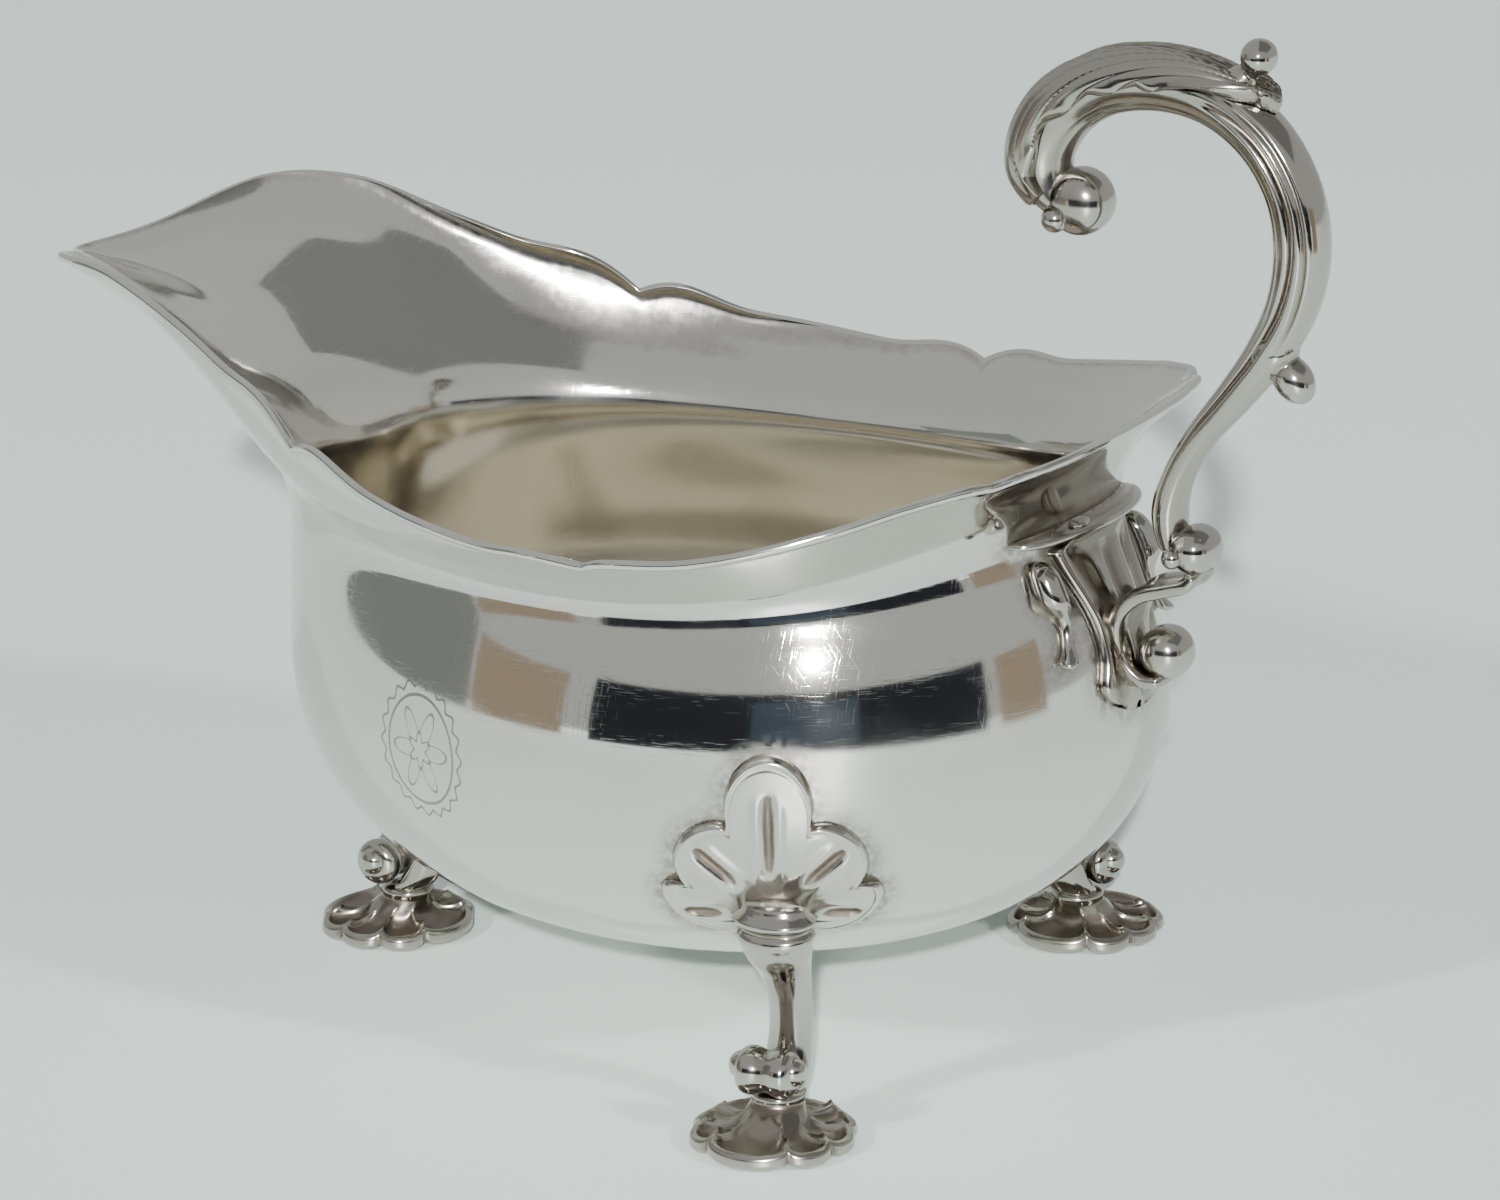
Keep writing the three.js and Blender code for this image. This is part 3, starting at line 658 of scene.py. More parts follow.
@dataclass
class Bowl:
    """The raised bowl: level rings, a rim with brackets cut in it, and a wire-thin rolled edge."""

    axis_x: float = 11.0
    wall: float = 1.2
    edge_radius: float = 0.62
    around: int = 360
    rows_outside: int = 96
    rows_inside: int = 72
    rings: tuple = (
        (0, 0, 0, 15, 15, 15),
        (14, 14, 12, 15, 15, 15),
        (30, 30, 26, 16.4, 16.4, 16.4),
        (44, 43, 37.5, 20.5, 20.5, 20.5),
        (56, 54.5, 46, 29, 29, 29),
        (63, 61, 51, 43, 43, 43),
        (62.5, 60.5, 50, 56, 56, 56),
        (62.5, 57, 46, 68, 66.5, 68),
        (66, 51.5, 44, 79.5, 71, 76.5),
        (76, 55.5, 52, 91.5, 75, 85.5),
    )
    rim: tuple = (
        (72, 0, 89.8), (71.8, 9, 89.8), (71, 18, 89.6), (67.8, 28.3, 89), (60, 38, 87.6),
        (51.5, 46, 84.6), (41, 52.5, 81.6), (30, 55.4, 79.6), (18, 56.2, 78.8), (6, 55.8, 79.4),
        (-6, 54, 81.2), (-17, 50, 83.4), (-28, 45.5, 86.4), (-40, 40, 91.8), (-54, 35, 97.6),
        (-69, 31.8, 102.6), (-82.5, 26.5, 101.8), (-91.5, 9.5, 96.2), (-99.2, 0, 93.4),
    )
    cusps: tuple = ((78, 13, 3.2), (121, 14, 3.4), (31, 9, 1.2))
    tree: BVHTree = field(default=None, repr=False)

    def rim_points(self, turn: np.ndarray) -> np.ndarray:
        """The rim before its brackets, at each turn from 0 to 1."""
        half = np.array(self.rim, float)
        other = half[-2:0:-1] * (1, -1, 1)
        return catmull_rom(np.vstack([half, other]), turn, closed=True)

    def wave(self, turn: np.ndarray) -> np.ndarray:
        """How far the brackets slide the rim up the wall, in millimetres."""
        degrees = np.minimum(turn % 1, 1 - turn % 1) * 360
        total = np.zeros_like(degrees)
        for angle, reach, hump in self.cusps:
            t = np.minimum(1, np.abs(degrees - angle) / reach)
            total += hump * (np.sin(math.pi * t) * (1 - t) - 0.3 * (1 - t) ** 2)
        return total

    def raw(self, turn: np.ndarray, up: np.ndarray) -> np.ndarray:
        """The outer face before the brackets."""
        angle = turn * TURN
        c, s = np.cos(angle), np.sin(angle)
        weights = spline_weights(up, len(self.rings) + 1)
        result = self.rim_points(turn) * weights[:, -1:]
        for k, (front, back, side, z_front, z_side, z_back) in enumerate(self.rings):
            reach = np.where(c < 0, front, back)
            lift = np.where(c < 0, z_front, z_back) - z_side
            height = z_side + lift * np.abs(c) ** 2.2
            ring = np.stack([self.axis_x + reach * c, side * s, height], axis=1)
            result += ring * weights[:, k:k + 1]
        return result

    def skin(self, turn: np.ndarray, up: np.ndarray) -> np.ndarray:
        """The outer face with the brackets: the rim slid along the wall."""
        step = 1e-4
        here = np.minimum(up, 1 - step)
        along = unit(self.raw(turn, here + step) - self.raw(turn, here))
        return self.raw(turn, up) + along * (self.wave(turn) * smoothstep(up, 0.8, 1))[:, None]

    def place(
        self, turn: np.ndarray, up: np.ndarray, lift: np.ndarray, rise: np.ndarray,
    ) -> np.ndarray:
        """Points off the outer face: lift along its normal and rise along the wall."""
        step = 1e-3
        safe = np.clip(up, step, 1)
        here = self.skin(turn, up)
        along = unit(self.skin(turn, safe) - self.skin(turn, safe - step))
        across = self.skin(turn + step, safe) - self.skin(turn - step, safe)
        normal = unit(np.cross(across, along))
        normal[up < step] = (0, 0, -1)
        return here + normal * lift[:, None] + along * rise[:, None]

    def rows(self) -> np.ndarray:
        """Place up the wall, lift and rise of each row, from outside to inside over the edge."""
        edge = self.edge_radius
        outside = [(up, 0.0, 0.0) for up in np.linspace(0, 0.985, self.rows_outside)]
        roll = [
            (0.992, -self.wall * 0.45 + edge * math.cos(a), edge * math.sin(a))
            for a in np.radians(np.linspace(-50, 230, 11))
        ]
        inside = [
            (up, -self.wall * min(1, 0.8 + 8 * (0.98 - up)), 0.0)
            for up in np.linspace(0.98, 0, self.rows_inside)
        ]
        return np.array(outside + roll + inside)

    def build(self) -> bmesh.types.BMesh:
        """The whole bowl as one closed wall, fitted to its CAD node's box."""
        rows = self.rows()
        last = len(rows) - 1

        def place(u: np.ndarray, v: np.ndarray) -> np.ndarray:
            """Positions on the wall."""
            up, lift, rise = rows[np.round(v * last).astype(int)].T
            return self.place(u, up, lift, rise)

        def film(u: np.ndarray, v: np.ndarray) -> np.ndarray:
            """Warm film inside, below the neck."""
            row = np.round(v * last).astype(int)
            up = rows[row, 0]
            inner = row > last - self.rows_inside
            return np.where(inner, 1 - smoothstep(up, 0.72, 0.86), 0)

        bm = bent_grid(self.around, last, place, film)
        self.fit(bm)
        self.tree = BVHTree.FromBMesh(bm)
        return bm

    def fit(self, bm: bmesh.types.BMesh) -> None:
        """Bring the bowl's box onto its CAD node's box."""
        low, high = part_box("body")
        spots = np.array([vertex.co for vertex in bm.verts])
        mine_low, mine_high = Vector(spots.min(0)), Vector(spots.max(0))
        scale = Vector([(high[k] - low[k]) / (mine_high[k] - mine_low[k]) for k in range(3)])
        shift(bm, low, Matrix.Diagonal(scale).to_4x4() @ Matrix.Translation(-mine_low))

    def cast(
        self, facing: float, sideways: np.ndarray, z: np.ndarray, lift: np.ndarray,
    ) -> np.ndarray:
        """Where level lines meet the outside of the bowl.

        Args:
            facing: direction that the lines come from, in radians from +X.
            sideways: offset of each line from the bowl's axis, in millimetres.
            z: height of each line.
            lift: how far in front of the bowl each point is wanted.

        Returns:
            The points, in millimetres.
        """
        out = Vector((math.cos(facing), math.sin(facing), 0))
        side = Vector((-out.y, out.x, 0))
        far, fallback = 150, 50
        result = np.empty((len(z), 3))
        for k, (aside, height, clear) in enumerate(zip(sideways, z, lift)):
            middle = Vector((self.axis_x, 0, height)) + side * aside
            hit = self.tree.ray_cast((middle + out * far) * MM, -out)[0]
            spot = hit / MM if hit else middle + out * fallback
            result[k] = spot + out * clear
        return result


# ---- escutcheon --------------------------------------------------------------------------


@dataclass
class Escutcheon:
    """The fluted plate on the back of the bowl, the fillet over it and the scrolls beside it."""

    bowl: Bowl
    top: float = 76.4
    bottom: float = 52.6
    half_widths: tuple = (10.6, 9.4, 8.2, 7.4, 7.6, 8.6, 6.6)
    thickness: float = 1.3
    flutes: int = 3
    bar_half: float = 16.5
    bar_height: float = 78.2
    side_line: tuple = (
        (13, 74.9, 1.8), (13.2, 70, 2.0), (12.2, 67.2, 0.9), (12.8, 64, 0.8), (14.2, 61.2, 1.5),
    )

    def plate(self) -> bmesh.types.BMesh:
        """The plate, with upright flutes that spread at its foot."""
        stations = np.array(self.half_widths, float)[:, None]

        def place(u: np.ndarray, v: np.ndarray) -> np.ndarray:
            """Positions on the plate: its face for the first half of u, its back for the rest."""
            across = np.where(u < 0.5, 1 - 4 * u, 4 * u - 3)
            end = round_ends(v, 0.06, 0.1)
            half = catmull_rom(stations, v, even=True)[:, 0] * end
            flute = np.cos(math.pi * self.flutes * across)
            wave = -0.32 * flute * smoothstep(v, 0.02, 0.2)
            edge = 0.5 * bump(np.abs(across), 0.93, 0.08)
            crown = self.thickness * np.sqrt(np.clip(1 - across ** 6, 0, 1))
            crown += wave * (1 - across ** 4) + edge
            foot = 0.6 * flute * smoothstep(v, 0.8, 1)
            z = self.top + (self.bottom - self.top) * v - foot
            lift = np.where(u < 0.5, 0.1 + crown * end, -0.3)
            return self.bowl.cast(0.0, across * half, z, lift)

        return bent_grid(96, 64, place)

    def bar(self) -> bmesh.types.BMesh:
        """The level fillet, thin and a little drooped at its ends."""

        def place(u: np.ndarray, v: np.ndarray) -> np.ndarray:
            """Positions round the fillet."""
            across = 2 * v - 1
            end = np.sqrt(np.clip(1 - across ** 12, 0, 1))
            angle = u * TURN
            outward = 0.5 + 0.5 * np.cos(angle)
            half_height = 0.8 * end * (1 - 0.3 * bump(outward, 0.6, 0.12))
            z = self.bar_height - across ** 2 + half_height * np.sin(angle)
            depth = (2.9 + 1.7 * (1 - across ** 2)) * end
            lift = outward * depth - 0.3 * (1 - outward)
            return self.bowl.cast(0.0, across * self.bar_half, z, lift)

        return bent_grid(28, 96, place)

    def side_scroll(self, side: int) -> bmesh.types.BMesh:
        """An upright roll that thins to a curl, on one side of the plate.

        Args:
            side: -1 for the near side, 1 for the far side.

        Returns:
            The bmesh.
        """
        y, z, radius = (np.array(column, float) for column in zip(*self.side_line))
        centres = self.bowl.cast(0.0, side * y, z, radius * 0.8)

        def place(u: np.ndarray, v: np.ndarray) -> np.ndarray:
            """Positions round the roll."""
            thick = catmull_rom(radius[:, None], v, even=True)[:, 0] * round_ends(v, 0.1, 0.08)
            spot = catmull_rom(centres, v)
            angle = u * TURN
            spot[:, 0] += thick * np.cos(angle)
            spot[:, 1] += thick * np.sin(angle)
            return spot

        return bent_grid(32, 72, place)

    def bead(self) -> bmesh.types.BMesh:
        """The small bead on the fillet."""
        bm = bmesh.new()
        bmesh.ops.create_uvsphere(bm, u_segments=32, v_segments=20, radius=1.1 * MM)
        spot = self.bowl.cast(0.0, [-6.5], [self.bar_height + 0.6], [2.4])[0]
        return shift(bm, Vector(spot) * MM, Matrix.Diagonal((1.1, 1.9, 0.6, 1)))

    def build(self, shop: Workshop, finishes: Finishes) -> None:
        """Add the plate, the fillet, its bead and both side scrolls."""
        slot, casting = "escutcheon", finishes.casting
        plate = self.plate()
        shop.add("escutcheon_shell", plate, finishes.fluted, slot, ("escutcheon_plate",), 1.4)
        shop.add("neck_fillet", self.bar(), casting, slot, ("escutcheon_bar",))
        shop.add("fillet_bead", self.bead(), casting, slot)
        for side, name in ((-1, "near"), (1, "far")):
            node = f"escutcheon_scroll_{name}"
            shop.add(f"side_roll_{name}", self.side_scroll(side), casting, slot, (node,))


# ---- handle ------------------------------------------------------------------------------


@dataclass
class Volute:
    """A smooth roll across the handle, with a small knob at each end."""

    node: str
    radius: float
    width: float
    squareness: float = 2.6
    waist: float = 0.0
    knob: float = 1.6
    knob_reach: float = 2.4
    knob_turn: float = 215.0

    def build(self, turn: float = 0.0) -> bmesh.types.BMesh:
        """The roll in the middle of its CAD node's box.

        Args:
            turn: how far it is turned about Z from lying along Y, in radians.

        Returns:
            The bmesh.
        """
        along = self.width * np.sin(np.linspace(-math.pi / 2, math.pi / 2, 61))
        share = np.abs(along) / self.width
        radius = self.radius * np.sqrt(np.clip(1 - share ** self.squareness, 0, 1))
        radius *= 1 - self.waist * bump(share, 0, 0.32)
        bm = spun(np.stack([radius, along], axis=1), 72)
        if self.knob:
            angle = math.radians(self.knob_turn)
            x, z = self.knob_reach * math.cos(angle), self.knob_reach * math.sin(angle)
            y = self.width - 0.4 * self.knob
            for side in (-1, 1):
                bmesh.ops.create_uvsphere(
                    bm, u_segments=36, v_segments=24, radius=self.knob * MM,
                    matrix=Matrix.Translation(Vector((x, side * y, z)) * MM),
                )
        return shift(bm, box_middle(self.node), Matrix.Rotation(turn, 4, "Z"))


@dataclass
class Handle:
    """The flying double-scroll handle: scroll, leaf, rolls, bud and the lower strap."""

    line: tuple = (
        (62.6, 119.6, 2.4, 3.4), (59.4, 122.2, 3.2, 4.4), (58.6, 126.8, 3.7, 4.9),
        (61.4, 132.2, 3.9, 5.0), (67, 136, 3.7, 4.9), (75, 137.4, 3.6, 4.7), (83, 136, 3.6, 4.6),
        (89.7, 131.7, 3.8, 4.6), (94, 125, 3.8, 4.6), (95.3, 117.5, 3.8, 4.5), (94, 110, 3.5, 4.3),
        (90.6, 103.3, 3.0, 4.0), (86, 97, 2.5, 3.6), (81.2, 91, 2.1, 3.4), (77.8, 85, 2.1, 3.4),
        (76.5, 79.6, 2.4, 3.6), (77.6, 75.2, 1.9, 3.6), (80.6, 72.6, 1.1, 3.4),
    )
    strap_line: tuple = (
        (81.2, 72.8, 1.2, 3.2), (80.2, 71.0, 1.5, 3.6), (77.4, 70.0, 1.6, 4.0),
        (73.4, 68.6, 1.7, 4.5), (70.6, 65.2, 1.7, 4.9), (70.9, 60.0, 1.7, 4.6),
        (73.8, 57.0, 1.5, 4.2), (77.4, 57.2, 1.0, 3.6),
    )
    leaf_from: float = 0.05
    leaf_to: float = 0.405
    UPRIGHT = Matrix.Rotation(math.pi / 2, 4, "X")

    def sweep(self, stations: tuple, t: np.ndarray) -> tuple:
        """Path point, outward direction, half depth and half width at each place."""
        table = np.array(stations, float)
        flat = np.stack([table[:, 0], np.zeros(len(table)), table[:, 1]], axis=1)
        tangent = directions(flat, t)
        outward = np.stack([-tangent[:, 2], np.zeros(len(t)), tangent[:, 0]], axis=1)
        depth, width = catmull_rom(table[:, 2:], t, even=True).T
        return catmull_rom(flat, t), outward, depth, width

    def scroll(self) -> bmesh.types.BMesh:
        """The scroll: a narrow inner roll, grooves along each side and a full back."""

        def place(u: np.ndarray, v: np.ndarray) -> np.ndarray:
            """Positions round the scroll."""
            spot, outward, depth, width = self.sweep(self.line, v)
            angle = u * TURN
            c, s = np.cos(angle), np.sin(angle)
            end = round_ends(v, 0.03, 0.03)
            main = 0.08 - 0.5 * smoothstep(v, 0.45, 0.8)
            below = smoothstep(v, 0.33, 0.42)
            groove = 1 - 0.3 * below * bump(c, main, 0.13) - 0.07 * bump(c, -0.68, 0.1)
            groove -= 0.16 * below * (1 - smoothstep(v, 0.56, 0.66)) * bump(c, 0.5, 0.09)
            full = 0.84 + 0.16 * c
            result = spot + outward * (depth * c * end)[:, None]
            result[:, 1] += width * s * groove * full * end
            return result

        return bent_grid(112, 420, place)

    def leaf(self) -> bmesh.types.BMesh:
        """The leaf over the scroll's inner half: slanting flutes, a wavy lip and a curled end."""

        def place(u: np.ndarray, v: np.ndarray) -> np.ndarray:
            """Positions on the leaf: its face for the first half of u, its back for the rest."""
            outside = u < 0.5
            across = np.where(outside, 1 - 4 * u, 4 * u - 3)
            side = np.abs(across)
            end = self.leaf_to - 0.09 * side ** 1.5
            t = self.leaf_from + (end - self.leaf_from) * v
            spot, outward, depth, width = self.sweep(self.line, t)
            fan = side / (1.06 - v)
            phase = 9 * fan / (1 + fan)
            waves = 7 * np.cos(TURN * phase) * smoothstep(v, 0.05, 0.2)
            sweep = np.radians(96 + waves - 14 * smoothstep(v, 0.6, 1))
            flute = 0.85 * np.abs(np.sin(math.pi * phase)) ** 0.7
            flute *= smoothstep(v, 0.0, 0.15) * smoothstep(side, 0.02, 0.2)
            lip = 0.55 * bump(side, 0.95, 0.06) + 1.4 * smoothstep(v, 0.93, 1)
            rib = 0.35 * bump(side, 0, 0.06)
            rounded = np.sqrt(np.clip(1 - side ** 10, 0, 1))
            rounded *= np.sqrt(np.clip(1 - (2 * v - 1) ** 40, 0, 1))
            lift = np.where(outside, 0.15 + (0.75 + flute + lip + rib) * rounded, -0.35)
            result = spot + outward * ((depth + lift) * np.cos(sweep * across))[:, None]
            result[:, 1] += (width * 1.02 + lift) * np.sin(sweep * across)
            return result

        return bent_grid(180, 260, place)

    def strap(self) -> bmesh.types.BMesh:
        """The lower C-scroll, flat and a little dished."""

        def place(u: np.ndarray, v: np.ndarray) -> np.ndarray:
            """Positions round the strap."""
            spot, outward, depth, width = self.sweep(self.strap_line, v)
            angle = u * TURN
            c, s = np.cos(angle), np.sin(angle)
            end = round_ends(v, 0.05, 0.05)
            dish = 1 - 0.45 * (1 - np.abs(s)) ** 0.7
            lift = depth * np.sign(c) * np.abs(c) ** 0.6 * dish * end
            result = spot + outward * lift[:, None]
            result[:, 1] += width * np.sign(s) * np.abs(s) ** 0.8 * end
            return result

        return bent_grid(72, 150, place)

    def bud(self) -> bmesh.types.BMesh:
        """The small bud on the outer curve, in a collar."""
        low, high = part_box("handle_spur")
        outline = (
            (0, -1.6), (2.6, -1.4), (3.4, 0.4), (3.1, 1.8), (2.3, 2.7), (2.5, 3.6), (2.6, 5.0),
            (2.1, 6.7), (1.0, 7.9), (0, 8.2),
        )
        lean = math.atan2(high.x - low.x, high.z - low.z)
        root = Vector((low.x - 0.9 * MM, 0, high.z + 0.3 * MM))
        turn = Matrix.Rotation(math.pi - lean, 4, "Y") @ self.UPRIGHT
        return shift(turned(outline, 46, 48), root, turn)

    def thumb_neck(self) -> bmesh.types.BMesh:
        """The short stalk under the thumb roll."""
        outline = ((0, -3.6), (2.6, -3.2), (2.1, -2.0), (1.5, -1.0), (1.5, 0.4), (0, 0.8))
        root = box_middle("thumb_roll") + Vector((-0.9, 0, -1.2)) * MM
        turn = Matrix.Rotation(0.6, 4, "Y") @ self.UPRIGHT
        return shift(turned(outline, 31, 40), root, turn)

    def build(self, shop: Workshop, finishes: Finishes) -> None:
        """Add every piece of the handle."""
        slot, casting = "handle", finishes.casting
        shop.add("scroll", self.scroll(), casting, slot, ("handle_scroll",), 1.1)
        shop.add("leaf", self.leaf(), finishes.fluted, "handle_leaf", ("handle_leaf",), 1.0)
        shop.add("lower_strap", self.strap(), finishes.fluted, slot, ("lower_scroll",), 1.4)
        rolls = (
            Volute("inner_volute", 4.5, 4.2, knob=1.8, knob_reach=2.9, knob_turn=222),
            Volute("middle_volute", 3.2, 4.2, knob=1.4, knob_reach=2.0, knob_turn=200),
            Volute("lower_volute", 3.6, 3.9, knob=0),
            Volute("thumb_roll", 2.4, 2.7, squareness=2.0, knob=0),
        )
        for roll in rolls:
            shop.add(f"{roll.node}_roll", roll.build(), casting, slot, (roll.node,), 1.0)
        shop.add("outer_bud", self.bud(), casting, slot, ("handle_spur",), 0.9)
        shop.add("thumb_stalk", self.thumb_neck(), casting, slot)


# ---- feet --------------------------------------------------------------------------------


@dataclass
class Foot:
    """One cast foot: knee shell, leg, ankle scroll and fluted pad."""

    name: str
    points: float
    knee_faces: float
    bowl: Bowl
    mounts: list
    pad_radius: float = 11.3
    hub_height: float = 31.0
    hub_reach: float = 7.0
    notches: tuple = ((-32, 7.5), (17, 12), (67, 14), (113, 14), (163, 12), (212, 7.5))
    lobes: tuple = (13.6, 16.0, 22.9, 16.0, 13.6)
    channels: tuple = (
        (-4, 0.5, 0.9), (44, 0.4, 0.9), (90, 0.28, 0.8), (136, 0.4, 0.9), (184, 0.5, 0.9),
    )
    leg_line: tuple = (
        (-1.6, 33.4, 4.0, 2.6), (-1.6, 30.6, 5.0, 3.4), (-2.2, 27.4, 5.0, 3.8),
        (-4.4, 23.4, 3.7, 3.2), (-6.0, 18.8, 3.0, 2.8), (-6.3, 14.2, 2.95, 2.6),
        (-5.2, 10.0, 3.2, 2.3), (-3.2, 7.6, 3.4, 1.8), (-1.4, 6.9, 3.0, 1.0),
    )

    def centre(self) -> np.ndarray:
        """The middle of the pad on the table, in millimetres."""
        spots = {mount["name"]: mount["pos_m"] for mount in self.mounts}
        return np.array(spots[f"{self.name}_pad_base"]) / MM

    def spot(self, out: np.ndarray, sideways: np.ndarray, z: np.ndarray) -> np.ndarray:
        """Points at the foot: out from the middle of its pad, sideways, and up."""
        c, s = math.cos(math.radians(self.points)), math.sin(math.radians(self.points))
        x, y, _ = self.centre()
        return np.stack([x + out * c - sideways * s, y + out * s + sideways * c, z], axis=1)

    def knee_reach(self, angle: np.ndarray) -> np.ndarray:
        """Reach of the shell's edge from its hub at each angle."""
        degrees = np.degrees(angle)
        result = np.full(len(degrees), self.hub_reach)
        last = len(self.lobes) - 1
        pairs = zip(self.notches[:-1], self.notches[1:])
        for k, (((start, low), (stop, high)), lobe) in enumerate(zip(pairs, self.lobes)):
            t = (degrees - start) / (stop - start)
            inside = (t >= 0) & (t <= 1)
            t = np.clip(t, 0, 1)
            skew = {0: 1 - (1 - t) ** 0.5, last: t ** 0.5}.get(k, t)
            hump = np.sin(math.pi * skew) ** 0.62
            reach = low + (high - low) * t + (lobe - (low + high) / 2) * hump
            result = np.where(inside, reach, result)
        return result

    def knee(self) -> bmesh.types.BMesh:
        """The fluted shell over the leg, with a rolled border."""
        facing = math.radians(self.knee_faces)
        hub = self.centre() - (self.bowl.axis_x, 0, 0)
        hub_side = -math.sin(facing) * hub[0] + math.cos(facing) * hub[1]
        face = 0.8

        def place(u: np.ndarray, v: np.ndarray) -> np.ndarray:
            """Positions on the shell: its face from the hub to the edge, then its back."""
            front = v <= face
            share = np.where(front, v / face, (1 - v) / (1 - face))
            angle = ((u % 1) - 0.25) * TURN
            edge = self.knee_reach(angle)
            reach = edge * share
            inward = edge - reach
            crown = 0.7 * smoothstep(inward, 0.6, 2.2) * (1 - 0.5 * smoothstep(reach, 6, 21))
            border = 0.5 * bump(inward, 0.85, 0.5)
            flutes = np.zeros(len(u))
            for degrees, start, stop in self.channels:
                away = angle - math.radians(degrees)
                off = reach * np.sin(np.clip(away, -math.pi / 2, math.pi / 2))
                window = smoothstep(share, start - 0.1, start + 0.15)
                window *= 1 - smoothstep(share, stop - 0.14, stop)
                channel = bump(off, 0, 0.7) - 0.35 * bump(np.abs(off), 1.5, 0.6)
                flutes += np.where(np.cos(away) > 0, channel * window, 0)
            ending = np.sqrt(np.clip(1 - np.clip(1 - inward / 0.9, 0, 1) ** 2, 0, 1))
            raised = 0.95 + crown + border - 0.75 * flutes
            lift = np.where(front, 0.05 + raised * ending, -0.4)
            z = self.hub_height + reach * np.sin(angle)
            return self.bowl.cast(facing, hub_side - reach * np.cos(angle), z, lift)

        return bent_grid(240, 100, place)

    def clear_of_inside(self, spots: np.ndarray) -> np.ndarray:
        """Points moved outwards where they would pass through the bowl's wall to its inside."""
        facing = math.radians(self.knee_faces)
        out = np.array((math.cos(facing), math.sin(facing), 0))
        sideways = (spots - (self.bowl.axis_x, 0, 0)) @ (-out[1], out[0], 0)
        half_wall, bowl_bottom = self.bowl.wall / 2, 18
        wall = self.bowl.cast(facing, sideways, spots[:, 2], np.full(len(spots), -half_wall))
        short = np.where(spots[:, 2] > bowl_bottom, np.maximum((wall - spots) @ out, 0), 0)
        return spots + out * short[:, None]

    def leg(self) -> bmesh.types.BMesh:
        """The leg: a collar at the knee, a swelling, and the shaft down to the ankle roll."""
        table = np.array(self.leg_line, float)
        path = self.spot(table[:, 0], np.zeros(len(table)), table[:, 1])
        turn = math.radians(self.points)
        side = np.array((-math.sin(turn), math.cos(turn), 0))

        def place(u: np.ndarray, v: np.ndarray) -> np.ndarray:
            """Positions round the leg."""
            spot = catmull_rom(path, v)
            out = unit(np.cross(side, directions(path, v)))
            width, depth = catmull_rom(table[:, 2:], v, even=True).T
            angle = u * TURN
            c, s = np.cos(angle), np.sin(angle)
            end = round_ends(v, 0.04, 0.03)
            collar = 0.75 * bump(v, 0.11, 0.026) - 0.4 * bump(v, 0.16, 0.014)
            collar += 0.3 * bump(v, 0.2, 0.025)
            result = spot + out * ((depth + collar) * c * end)[:, None]
            return self.clear_of_inside(result + side * ((width + collar) * s * end)[:, None])

        return bent_grid(64, 220, place)

    def ankle(self) -> bmesh.types.BMesh:
        """The waisted roll across the ankle, with a knob at each end."""
        volute = Volute(
            f"ankle_scroll_{self.name}", 3.4, 4.3, squareness=6.0, waist=0.17,
            knob=2.0, knob_reach=0.5, knob_turn=90,
        )
        return volute.build(math.radians(self.points))

    def pad(self) -> bmesh.types.BMesh:
        """The fan-shaped pad: a thick scalloped rim, dished flutes and a neck."""
        outline = np.array([
            (0, 0), (0.88, 0), (0.98, 0.4), (1.0, 1.2), (0.965, 2.05), (0.88, 2.35), (0.77, 2.15),
            (0.63, 2.35), (0.5, 3.0), (0.41, 4.1), (0.35, 5.3), (0.32, 6.8), (0, 7.4),
        ])
        edges = np.array((-215, -145, -108, -72, -35, 35, 72, 108, 145, 215), float)

        def place(u: np.ndarray, v: np.ndarray) -> np.ndarray:
            """Positions on the pad."""
            share, z = catmull_rom(outline, v).T
            share, z = np.maximum(share, 0), np.maximum(z, 0)
            angle = (u % 1 - 0.5) * TURN
            phase = np.interp(np.degrees(angle), edges, np.arange(len(edges)))
            lobe = np.abs(np.sin(math.pi * phase)) ** 0.55
            valley = 1 - lobe
            ribs = smoothstep(share, 0.36, 0.55) * (1 - smoothstep(share, 0.84, 0.93)) * (v > 0.35)
            reach = self.pad_radius * share * (0.9 + 0.1 * lobe * smoothstep(share, 0.45, 0.9))
            z = z + ribs * (0.9 * valley ** 2 - 0.75 * lobe)
            z = z + 0.8 * smoothstep(share, 0.6, 0.95) * valley ** 1.5
            lean = -2.0 * smoothstep(z, 2.2, 6.4)
            out = lean + reach * np.cos(angle)
            return self.spot(out, reach * np.sin(angle), np.maximum(z, 0))

        return bent_grid(216, 90, place)

    def build(self, shop: Workshop, finishes: Finishes) -> None:
        """Add the four pieces of the foot."""
        pieces = (
            ("knee", self.knee, finishes.shell, "knee", "knee_shell", 1.2),
            ("shank", self.leg, finishes.casting, "leg", "leg", 1.2),
            ("ankle", self.ankle, finishes.casting, "leg", "ankle_scroll", 1.0),
            ("pad", self.pad, finishes.fluted, "foot_pad", "foot_pad", 1.3),
        )
        for piece, shape, finish, slot, node, spread in pieces:
            stands_for = (f"{node}_{self.name}",)
            shop.add(f"{piece}_{self.name}", shape(), finish, slot, stands_for, spread)


# ---- soil and painted contact shade by the joints ----------------------------------------


